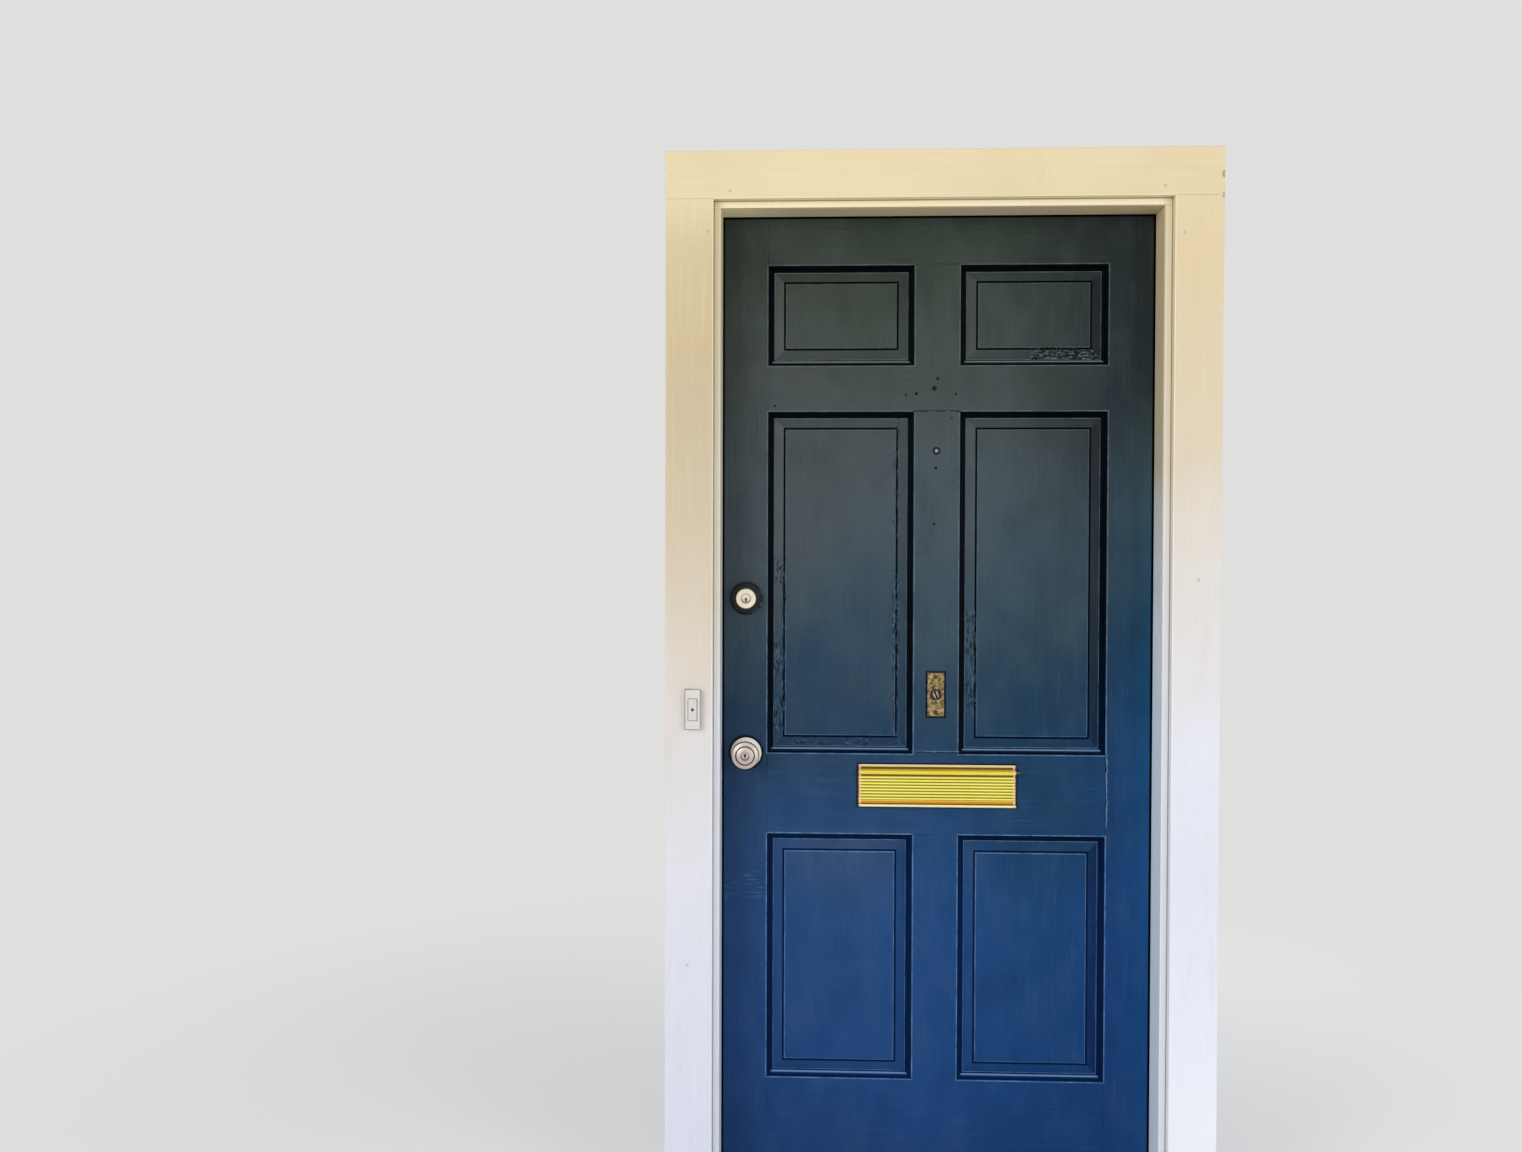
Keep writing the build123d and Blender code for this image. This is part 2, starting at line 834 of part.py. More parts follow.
def hinge_leaf(centre, face, back, first_knuckle, holes):
    """A hinge plate from the wood's face to its back, with every other knuckle of the barrel."""
    low = centre - hinge_height / 2
    pitch = hinge_height / knuckle_count
    with BuildPart() as plate:
        block((face, pin_y - hinge_leaf_reach, low), (back, leaf_back, low + hinge_height))
        for index in range(first_knuckle, knuckle_count, 2):
            knuckle_low = low + index * pitch + (knuckle_gap / 2 if index > 0 else 0)
            knuckle_high = low + (index + 1) * pitch - (knuckle_gap / 2 if index < knuckle_count - 1 else 0)
            block((face, leaf_back, knuckle_low), (back, pin_y, knuckle_high))
            rod((pin_x, pin_y, knuckle_low), (0, 0, 1), knuckle_radius, knuckle_high - knuckle_low)
        rod(
            (pin_x, pin_y, low - overrun),
            (0, 0, 1),
            pin_radius + pin_clearance,
            hinge_height + 2 * overrun,
            mode=Mode.SUBTRACT,
        )
        add(holes.part, mode=Mode.SUBTRACT)
    return plate


frame_leaves = {
    f"hinge_frame_leaf_{name}": hinge_leaf(centre, rabbet_x, rabbet_x + hinge_thickness, 0, frame_screw_holes)
    for name, centre in hinge_centres.items()
}
door_leaves = {
    f"hinge_door_leaf_{name}": hinge_leaf(centre, leaf_half, leaf_half - hinge_thickness, 1, leaf_screw_holes)
    for name, centre in hinge_centres.items()
}

with BuildPart() as hinge_pins:
    for centre in hinge_centres.values():
        rod((pin_x, pin_y, centre - hinge_height / 2), (0, 0, 1), pin_radius, hinge_height)
        rod((pin_x, pin_y, centre + hinge_height / 2), (0, 0, 1), pin_head_radius, pin_head_height)
    head_edges = hinge_pins.edges().filter_by(lambda edge: edge.geom_type == GeomType.CIRCLE)
    fillet(head_edges.filter_by(lambda edge: edge.radius > pin_radius), pin_head_round)


# Lock pieces turned about the lock's axis: half outlines are radius across, distance from the leaf up

def porch_side(height):
    """The plane of a half outline on the outside face."""
    return Plane(origin=(lock_x, leaf_front, height), x_dir=(1, 0, 0), z_dir=(0, 0, -1))


def house_side(height):
    """The plane of a half outline on the inside face."""
    return Plane(origin=(lock_x, leaf_back, height), x_dir=(1, 0, 0), z_dir=(0, 0, 1))


def turned(plane, outline):
    """A piece turned about the lock's axis, from the half outline that a function draws."""
    with BuildPart() as piece:
        with BuildSketch(plane):
            with BuildLine():
                outline()
            make_face()
        revolve(axis=Axis(plane.origin, plane.y_dir))
    return piece


def rose_outline():
    """A rose with a rolled edge, a small step and a domed crown round the neck's hole."""
    hole = neck_radius + neck_clearance
    edge = (rose_radius, rose_edge)
    step = (rose_step_radius, rose_step_height)
    dome = (rose_step_radius - rose_step_width, rose_step_height)
    crown = (rose_crown_radius, rose_height)
    Polyline(crown, (hole, rose_height), (hole, 0), (rose_radius, 0), edge)
    ThreePointArc(edge, bowed(edge, step, -rose_roll_bow), step)
    Line(step, dome)
    ThreePointArc(dome, bowed(dome, crown, -rose_crown_bow), crown)


def knob_outside():
    """The knob from the back of its neck, round the rim and across the face to the plug's hole."""
    neck = (neck_radius, neck_end)
    waist = (knob_waist_radius, knob_waist)
    rim = (knob_radius, knob_rim_start)
    rim_end = (knob_radius, knob_rim_end)
    shoulder = (knob_shoulder_radius, knob_shoulder)
    groove = (knob_ring_radius, knob_face)
    groove_floor = knob_face - ring_groove_depth
    disc = (knob_ring_radius - ring_groove_width, knob_face)
    seat = (plug_seat_radius, knob_crown)
    Line((neck_radius, neck_start), neck)
    ThreePointArc(neck, bowed(neck, waist, knob_neck_bow), waist)
    ThreePointArc(waist, bowed(waist, rim, -knob_back_bow), rim)
    Line(rim, rim_end)
    ThreePointArc(rim_end, bowed(rim_end, shoulder, -knob_shoulder_bow), shoulder)
    Polyline(shoulder, groove, (groove[0], groove_floor), (disc[0], groove_floor), disc)
    ThreePointArc(disc, bowed(disc, seat, -knob_disc_bow), seat)
    seat_floor = knob_crown - plug_seat_sink
    Polyline(seat, (plug_seat_radius, seat_floor), (plug_mouth, seat_floor))


def outer_knob_outline():
    """The outside knob, in one with the hollow spindle that drives the latch and the inside knob."""
    knob_outside()
    plug_floor = knob_plug_face - plug_length - plug_clearance
    spindle_end = -leaf_thickness - spindle_reach
    Polyline(
        (plug_mouth, knob_crown - plug_seat_sink),
        (plug_mouth, plug_floor),
        (spindle_bore_radius, plug_floor),
        (spindle_bore_radius, spindle_end),
        (spindle_radius, spindle_end),
        (spindle_radius, neck_start),
        (neck_radius, neck_start),
    )


def inner_knob_outline():
    """The inside knob, bored to slide over the spindle's end."""
    knob_outside()
    plug_floor = knob_plug_face - plug_length - plug_clearance
    socket = spindle_radius + spindle_ease
    Polyline(
        (plug_mouth, knob_crown - plug_seat_sink),
        (plug_mouth, plug_floor),
        (spindle_bore_radius, plug_floor),
        (spindle_bore_radius, spindle_reach),
        (socket, spindle_reach),
        (socket, neck_start),
        (neck_radius, neck_start),
    )


def key_plug(height, face, tail_end):
    """A key plug with its keyway, and the flat tail bar that runs through the lock behind it."""
    front = leaf_front - face
    with BuildPart() as plug:
        rod((lock_x, front, height), house_ward, plug_radius, plug_length)
        block(
            (lock_x - keyway_width / 2, front - overrun, height - keyway_drop),
            (lock_x + keyway_width / 2, front + keyway_depth, height),
            mode=Mode.SUBTRACT,
        )
        eye_start = (lock_x, front - overrun, height)
        rod(eye_start, house_ward, keyway_eye_radius, keyway_depth + overrun, mode=Mode.SUBTRACT)
        block(
            (lock_x - tail_width / 2, front + plug_length, height - tail_height / 2),
            (lock_x + tail_width / 2, tail_end, height + tail_height / 2),
        )
    return plug


def turn_piece(height, stem_radius, stem_start, grip_start, length, width, proud, taper):
    """A turned stem with a flat grip across its end, slotted for the tail bar."""
    grip_plane = Plane(origin=(lock_x, leaf_back + grip_start, height), x_dir=(0, 0, 1), z_dir=house_ward)
    with BuildPart() as turn:
        rod((lock_x, leaf_back + stem_start, height), house_ward, stem_radius, grip_start - stem_start)
        with BuildSketch(grip_plane):
            SlotOverall(length, width)
        extrude(amount=proud, taper=taper)
        fillet(turn.faces().sort_by(Axis.Y)[-1].edges(), thumb_round)
        half_width = tail_width / 2 + tail_ease
        half_height = tail_height / 2 + tail_ease
        block(
            (lock_x - half_width, leaf_back + stem_start - overrun, height - half_height),
            (lock_x + half_width, leaf_back + stem_start + tail_bite, height + half_height),
            mode=Mode.SUBTRACT,
        )
    return turn


knob_rose_outer = turned(porch_side(knob_z), rose_outline)
knob_rose_inner = turned(house_side(knob_z), rose_outline)
knob_outer = turned(porch_side(knob_z), outer_knob_outline)
knob_inner = turned(house_side(knob_z), inner_knob_outline)

button_stem_start = knob_plug_face - plug_length
knob_key_plug = key_plug(knob_z, knob_plug_face, leaf_back + button_stem_start + tail_bite)
knob_turn_button = turn_piece(
    knob_z,
    plug_radius,
    button_stem_start,
    knob_crown + button_clearance,
    button_length,
    button_width,
    button_proud,
    0,
)


def collar_outline():
    """The deadbolt's tapered collar, hollowed over the cylinder's flange."""
    inside = cylinder_radius + collar_ease
    flange = cylinder_flange_radius + collar_ease
    flange_top = cylinder_flange_thickness + collar_ease
    edge = (collar_radius, collar_edge)
    crown = (collar_crown_radius + collar_round, collar_height - collar_round)
    crown_top = (collar_crown_radius, collar_height)
    Polyline(
        crown_top,
        (inside, collar_height),
        (inside, flange_top),
        (flange, flange_top),
        (flange, 0),
        (collar_radius, 0),
        edge,
    )
    ThreePointArc(edge, bowed(edge, crown, -collar_side_bow), crown)
    ThreePointArc(crown, bowed(crown, crown_top, -collar_round_bow), crown_top)


def cylinder_outline():
    """The cylinder housing, flanged against the leaf, with a dished face round the plug."""
    rim = (cylinder_radius, cylinder_height - cylinder_rim_round)
    rim_top = (cylinder_radius - cylinder_rim_round, cylinder_height)
    dish = cylinder_height - cylinder_dish
    plug_floor = bolt_plug_face - plug_length - plug_clearance
    Polyline(
        (spindle_bore_radius, 0),
        (cylinder_flange_radius, 0),
        (cylinder_flange_radius, cylinder_flange_thickness),
        (cylinder_radius, cylinder_flange_thickness),
        rim,
    )
    ThreePointArc(rim, bowed(rim, rim_top, -cylinder_rim_bow), rim_top)
    Polyline(
        rim_top,
        (cylinder_ring_radius, cylinder_height),
        (cylinder_ring_radius - cylinder_dish, dish),
        (plug_seat_radius + cylinder_dish, dish),
        (plug_seat_radius, cylinder_height),
        (plug_mouth, cylinder_height),
        (plug_mouth, plug_floor),
        (spindle_bore_radius, plug_floor),
        (spindle_bore_radius, 0),
    )


def inner_rose_outline():
    """The plate under the thumb turn."""
    hole = thumb_stem_radius + plug_clearance
    edge = (inner_rose_radius, inner_rose_edge)
    crown = (inner_rose_crown_radius, inner_rose_height)
    Polyline(crown, (hole, inner_rose_height), (hole, 0), (inner_rose_radius, 0), edge)
    ThreePointArc(edge, bowed(edge, crown, -inner_rose_bow), crown)


bolt_collar = turned(porch_side(bolt_z), collar_outline)

with BuildPart() as bolt_cylinder:
    add(turned(porch_side(bolt_z), cylinder_outline).part)
    add(bolt_screws.part, mode=Mode.SUBTRACT)

with BuildPart() as bolt_rose_inner:
    add(turned(house_side(bolt_z), inner_rose_outline).part)
    add(bolt_screws.part, mode=Mode.SUBTRACT)

bolt_key_plug = key_plug(bolt_z, bolt_plug_face, leaf_back + neck_start + tail_bite)
thumbturn = turn_piece(
    bolt_z,
    thumb_stem_radius,
    neck_start,
    thumb_start,
    thumb_length,
    thumb_width,
    thumb_proud,
    thumb_taper,
)


def lock_case(height, case_radius, channel_width, channel_height, channel_end, hub_radius):
    """A tubular case in the leaf's edge: faceplate, tube with a channel for the bolt, and hub."""
    with BuildPart() as case:
        bar(-leaf_half, -leaf_half + faceplate_thickness, faceplate_width, faceplate_height, height)
        rod((-leaf_half, leaf_middle, height), (1, 0, 0), case_radius, backset - case_tongue_reach)
        tongue = (lock_x - case_tongue_reach, lock_x + case_tongue_reach)
        bar(*tongue, case_tongue_width, case_tongue_height, height)
        bar(-leaf_half - overrun, channel_end, channel_width, channel_height, height, mode=Mode.SUBTRACT)
        hub_start = (lock_x, leaf_front, height)
        rod(hub_start, house_ward, hub_radius, leaf_thickness, mode=Mode.SUBTRACT)
        add(leaf_screw_holes.part, mode=Mode.SUBTRACT)
    return case


latch_case = lock_case(
    knob_z,
    latch_case_radius,
    latch_width + 2 * channel_clearance,
    latch_height + 2 * channel_clearance,
    -leaf_half - latch_projection + latch_length + latch_travel + channel_end_room,
    spindle_radius + hub_clearance,
)
bolt_case = lock_case(
    bolt_z,
    bolt_case_radius,
    bolt_width + 2 * channel_clearance,
    bolt_bar_height + 2 * channel_clearance,
    -leaf_half + bolt_length + channel_end_room,
    bolt_hub_radius,
)

with BuildPart() as latch_bolt:
    latch_tip = -leaf_half - latch_projection
    bar(latch_tip, latch_tip + latch_length, latch_width, latch_height, knob_z)
    chamfer(latch_bolt.edges().filter_by(Axis.Z).group_by(Axis.X)[0].sort_by(Axis.Y)[0], latch_bevel)

with BuildPart() as dead_bolt:
    bar(-leaf_half, -leaf_half + bolt_length, bolt_width, bolt_bar_height, bolt_z)
    chamfer(dead_bolt.faces().sort_by(Axis.X)[0].edges(), bolt_nose_chamfer)


# Strike plates let into the lock side jamb

def strike_plate(height, plate_back, pocket_width, pocket_height):
    """A flat plate with the bolt's hole, from near the stop to plate_back."""
    with BuildPart() as plate:
        block(
            (-rabbet_x, leaf_middle - strike_width / 2, height - strike_height / 2),
            (-rabbet_x - strike_thickness, plate_back, height + strike_height / 2),
        )
        through = (-rabbet_x + overrun, -rabbet_x - strike_thickness - overrun)
        bar(*through, pocket_width, pocket_height, height, mode=Mode.SUBTRACT)
        add(frame_screw_holes.part, mode=Mode.SUBTRACT)
    return plate


strike_bolt = strike_plate(bolt_z, leaf_middle + strike_width / 2, bolt_pocket_width, bolt_pocket_height)

with BuildPart() as strike_latch:
    add(strike_plate(knob_z, jamb_depth, latch_pocket_width, latch_pocket_height).part)
    lip_back = -rabbet_x - strike_thickness
    lip_tip = (-rabbet_x - strike_lip_fall, jamb_depth + strike_lip_reach)
    lip_tip_back = (lip_tip[0] - strike_thickness, lip_tip[1])
    with BuildSketch(Plane.XY.offset(knob_z - strike_lip_height / 2)):
        with BuildLine():
            Polyline(lip_tip, lip_tip_back)
            ThreePointArc(
                lip_tip_back,
                bowed(lip_tip_back, (lip_back, jamb_depth), -strike_lip_bow),
                (lip_back, jamb_depth),
            )
            Line((lip_back, jamb_depth), (-rabbet_x, jamb_depth))
            ThreePointArc(
                (-rabbet_x, jamb_depth),
                bowed((-rabbet_x, jamb_depth), lip_tip, strike_lip_bow),
                lip_tip,
            )
        make_face()
    extrude(amount=strike_lip_height)


# Mail slot: a plate on each face of the lock rail, each with a flap hung from a pin through rolled ears

def mail_plate(face, out):
    """A plate on one face of the leaf, with its letter opening, folded top edge and two pin ears."""
    front = face + out * mail_plate_thickness
    axis_y = face + out * flap_stand
    with BuildPart() as plate:
        block((mail_left, face, mail_low), (mail_right, front, mail_z))
        fold_front = front + out * mail_fold_proud
        block((mail_left, front, mail_z - mail_fold_height), (mail_right, fold_front, mail_z))
        for end in (mail_left, mail_right - flap_ear_thickness):
            block(
                (end, front, flap_axis_z - flap_barrel_radius),
                (end + flap_ear_thickness, axis_y, flap_axis_z + flap_barrel_radius),
            )
            rod((end, axis_y, flap_axis_z), (1, 0, 0), flap_barrel_radius, flap_ear_thickness)
        rod(
            (mail_left - overrun, axis_y, flap_axis_z),
            (1, 0, 0),
            flap_pin_radius,
            mail_width + 2 * overrun,
            mode=Mode.SUBTRACT,
        )
        block(
            (mail_offset - letter_width / 2, face - out * overrun, letter_z - letter_height / 2),
            (mail_offset + letter_width / 2, front + out * overrun, letter_z + letter_height / 2),
            mode=Mode.SUBTRACT,
        )
        add(leaf_screw_holes.part, mode=Mode.SUBTRACT)
    return plate


def flap_body(face, out, sheet_width, draw_section):
    """A flap in one with its rolled barrel, from the section that a function draws below the barrel."""
    axis_y = face + out * flap_stand
    ear = flap_ear_thickness + flap_ear_gap
    sheet_inset = (mail_width - sheet_width) / 2
    clear = flap_barrel_radius + flap_edge_inset

    def at(forward, drop):
        return (axis_y + out * forward, flap_axis_z - drop)

    section = draw_section(Plane.YZ.offset(mail_left + sheet_inset), at)
    with BuildPart() as flap:
        extrude(section.sketch, amount=sheet_width)
        for end in (mail_left, mail_right - ear):
            block(
                (end, axis_y - clear, flap_axis_z - clear),
                (end + ear, axis_y + clear, flap_axis_z + clear),
                mode=Mode.SUBTRACT,
            )
        rod((mail_left + ear, axis_y, flap_axis_z), (1, 0, 0), flap_barrel_radius, mail_width - 2 * ear)
        rod(
            (mail_left, axis_y, flap_axis_z),
            (1, 0, 0),
            flap_pin_radius + flap_pin_clearance,
            mail_width,
            mode=Mode.SUBTRACT,
        )
    return flap


def reeded_section(plane, at):
    """Section of the outside flap: flat sheet, half-round reeds, then a cove out to a rolled lip."""
    back = (-flap_barrel_radius, cove_drop)
    front = (back[0] + flap_thickness, cove_drop)
    lip = (front[0] + lip_forward, flap_length - lip_radius)
    upper = (lip[0], lip[1] - lip_neck / 2)
    lower = (lip[0], lip[1] + lip_neck / 2)
    with BuildSketch(plane) as section:
        with BuildLine():
            Polyline(at(*front), at(front[0], 0), at(back[0], 0), at(*back))
            ThreePointArc(at(*back), at(*bowed(back, lower, cove_bow)), at(*lower))
            Line(at(*lower), at(*upper))
            ThreePointArc(at(*upper), at(*bowed(upper, front, -cove_bow)), at(*front))
        make_face()
        with Locations(at(*lip)):
            Circle(lip_radius)
        with Locations(*[at(front[0], first_reed_drop + index * reed_pitch) for index in range(reed_count)]):
            Circle(reed_radius)
    return section


def plain_section(plane, at):
    """Section of the inside flap: flat sheet with a bead along its bottom edge."""
    back = -flap_barrel_radius
    bead_drop = inner_flap_length - inner_bead_radius
    with BuildSketch(plane) as section:
        Polygon(
            at(back, 0),
            at(back + flap_thickness, 0),
            at(back + flap_thickness, bead_drop),
            at(back, bead_drop),
            align=None,
        )
        with Locations(at(back + inner_bead_radius, bead_drop)):
            Circle(inner_bead_radius)
    return section


mail_plate_outer = mail_plate(leaf_front, -1)
mail_plate_inner = mail_plate(leaf_back, 1)
mail_flap_outer = flap_body(leaf_front, -1, mail_width - 2 * flap_edge_inset, reeded_section)
mail_flap_inner = flap_body(leaf_back, 1, inner_flap_width, plain_section)

with BuildPart() as mail_flap_pins:
    for axis_y in (leaf_front - flap_stand, leaf_back + flap_stand):
        rod((mail_left, axis_y, flap_axis_z), (1, 0, 0), flap_pin_radius, mail_width + flap_pin_overhang)


# Old turn-bell plate: its key is gone, and the slot that took it is left in the boss

with BuildPart() as turn_bell_plate:
    block(
        (-turn_plate_width / 2, leaf_front, turn_plate_z - turn_plate_height / 2),
        (turn_plate_width / 2, leaf_front - turn_plate_thickness, turn_plate_z + turn_plate_height / 2),
    )
    fillet(turn_bell_plate.faces().sort_by(Axis.Y)[0].edges(), turn_plate_arris)
    plate_face = leaf_front - turn_plate_thickness
    rod((0, plate_face, turn_plate_z), porch_ward, turn_boss_radius, turn_boss_height)
    rod(
        (0, plate_face - turn_boss_height - overrun, turn_plate_z),
        house_ward,
        turn_boss_radius - turn_boss_wall,
        turn_boss_sink + overrun,
        mode=Mode.SUBTRACT,
    )
    with BuildSketch(Plane.XZ.offset(-leaf_front)):
        with Locations((0, turn_plate_z)):
            SlotOverall(turn_slot_length, turn_slot_width, rotation=turn_slot_tilt)
    extrude(amount=turn_plate_thickness + turn_boss_height, mode=Mode.SUBTRACT)
    add(leaf_screw_holes.part, mode=Mode.SUBTRACT)


# Bell push on the left casing

with BuildPart() as bell_body:
    block(
        (bell_x - bell_width / 2, -casing_thickness, bell_z - bell_height / 2),
        (bell_x + bell_width / 2, bell_front, bell_z + bell_height / 2),
    )
    fillet(bell_body.faces().sort_by(Axis.Y)[0].edges(), bell_round)
    pocket_floor = bell_front - push_proud + push_depth + push_travel + push_gap
    block(
        (bell_x - push_width / 2 - push_gap, bell_front - overrun, bell_z - push_height / 2 - push_gap),
        (bell_x + push_width / 2 + push_gap, pocket_floor, bell_z + push_height / 2 + push_gap),
        mode=Mode.SUBTRACT,
    )

with BuildPart() as bell_button:
    push_front = bell_front - push_proud
    block(
        (bell_x - push_width / 2, push_front, bell_z - push_height / 2),
        (bell_x + push_width / 2, push_front + push_depth, bell_z + push_height / 2),
    )
    fillet(bell_button.faces().sort_by(Axis.Y)[0].edges(), push_round)
    dot_start = (bell_x, push_front - overrun, bell_z)
    rod(dot_start, house_ward, push_dot_radius, push_dot_depth + overrun, mode=Mode.SUBTRACT)


pieces = {
    "jamb_lock": jamb_lock,
    "jamb_hinge": jamb_hinge,
    "jamb_head": jamb_head,
    "door_stops": door_stops,
    "sill": sill,
    "threshold": threshold,
    "weatherstrip": weatherstrip,
    "casing_left": casing_left,
    "casing_right": casing_right,
    "casing_head": casing_head,
    "strike_latch": strike_latch,
    "strike_bolt": strike_bolt,
    "frame_screws": frame_screws,
    "hinge_pins": hinge_pins,
    "bell_body": bell_body,
    "bell_button": bell_button,
    "stile_lock": stile_lock,
    "stile_hinge": stile_hinge,
    "rail_top": rail_top,
    "rail_frieze": rail_frieze,
    "rail_lock": rail_lock,
    "rail_bottom": rail_bottom,
    "mullion_top": mullion_top,
    "mullion_middle": mullion_middle,
    "mullion_bottom": mullion_bottom,
    "leaf_screws": leaf_screws,
    "latch_case": latch_case,
    "latch_bolt": latch_bolt,
    "bolt_case": bolt_case,
    "dead_bolt": dead_bolt,
    "knob_rose_outer": knob_rose_outer,
    "knob_rose_inner": knob_rose_inner,
    "knob_outer": knob_outer,
    "knob_inner": knob_inner,
    "knob_key_plug": knob_key_plug,
    "knob_turn_button": knob_turn_button,
    "bolt_collar": bolt_collar,
    "bolt_cylinder": bolt_cylinder,
    "bolt_rose_inner": bolt_rose_inner,
    "bolt_key_plug": bolt_key_plug,
    "thumbturn": thumbturn,
    "bolt_screws": bolt_screws,
    "mail_plate_outer": mail_plate_outer,
    "mail_plate_inner": mail_plate_inner,
    "mail_flap_outer": mail_flap_outer,
    "mail_flap_inner": mail_flap_inner,
    "mail_flap_pins": mail_flap_pins,
    "turn_bell_plate": turn_bell_plate,
    **panels,
    **frame_leaves,
    **door_leaves,
}

os.makedirs("parts", exist_ok=True)
for name, piece in pieces.items():
    piece.part.label = name
    export_step(piece.part, f"parts/{name}.step")
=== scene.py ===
import json
import math

import bpy
from mathutils import Matrix, Vector

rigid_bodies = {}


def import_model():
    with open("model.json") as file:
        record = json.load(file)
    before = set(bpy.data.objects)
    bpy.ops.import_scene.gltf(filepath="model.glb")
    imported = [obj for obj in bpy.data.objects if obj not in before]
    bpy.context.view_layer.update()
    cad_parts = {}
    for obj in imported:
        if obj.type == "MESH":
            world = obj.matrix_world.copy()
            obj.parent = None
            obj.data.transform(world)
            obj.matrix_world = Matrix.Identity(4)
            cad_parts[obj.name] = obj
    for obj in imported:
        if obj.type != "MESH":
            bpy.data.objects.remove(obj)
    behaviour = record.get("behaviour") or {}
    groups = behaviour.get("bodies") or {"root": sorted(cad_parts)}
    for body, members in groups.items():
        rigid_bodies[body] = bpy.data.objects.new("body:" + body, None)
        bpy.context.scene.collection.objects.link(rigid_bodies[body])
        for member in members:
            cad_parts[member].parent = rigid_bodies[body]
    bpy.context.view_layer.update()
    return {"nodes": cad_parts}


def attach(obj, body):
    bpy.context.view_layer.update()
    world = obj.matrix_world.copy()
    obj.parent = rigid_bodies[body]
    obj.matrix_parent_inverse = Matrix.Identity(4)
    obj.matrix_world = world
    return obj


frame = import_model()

nodes = frame["nodes"]

# The photograph's frame and the camera fitted to the lines of the door
photo_width = 1522
focal_pixels = 1232.7
camera_place = (-0.26703, -2.51522, 1.35703)
turned_left = math.radians(2.202)
tipped_down = math.radians(0.956)
rolled = math.radians(0.156)

# The leaf's framing, in metres
leaf_half = 0.4572
leaf_front = 0.0715
stile_arris = 0.3527
mullion_half = 0.0475
opening_rows = ((0.2562, 0.7722), (0.9421, 1.6580), (1.7537, 1.9624))
head_top = 2.1

# Widths across a panel's edge, from the arris of the framing inwards
moulding_width = 0.0105
quirk_start = 0.0330
quirk_end = 0.0367

# Locks, bell plate, mail slot, casings and bell push: middles, half sizes and heights, in metres
lock_x = -0.3969
knob_z = 0.942
bolt_z = 1.267
turn_plate_z = 1.067
turn_plate_half = (0.0178, 0.046)
turn_screw_rise = 0.037
turn_slot_normal = math.radians(22.0)
mail_middle_x = 0.003
mail_half = 0.165
mail_half_height = 0.044
mail_top = 0.920
mail_middle = (mail_middle_x, mail_top - mail_half_height)
flap_axis_z = 0.9048
first_reed_z = 0.8928
reed_pitch = 0.00635
cove_top_z = 0.8453
cove_end_z = 0.8372
casing_joint_z = 2.077
casing_edge_x = 0.4612
casing_front_y = -0.0190
bell_x = -0.5007
bell_z = 1.044
bell_half = (0.0150, 0.0400)
push_half = (0.0087, 0.0217)


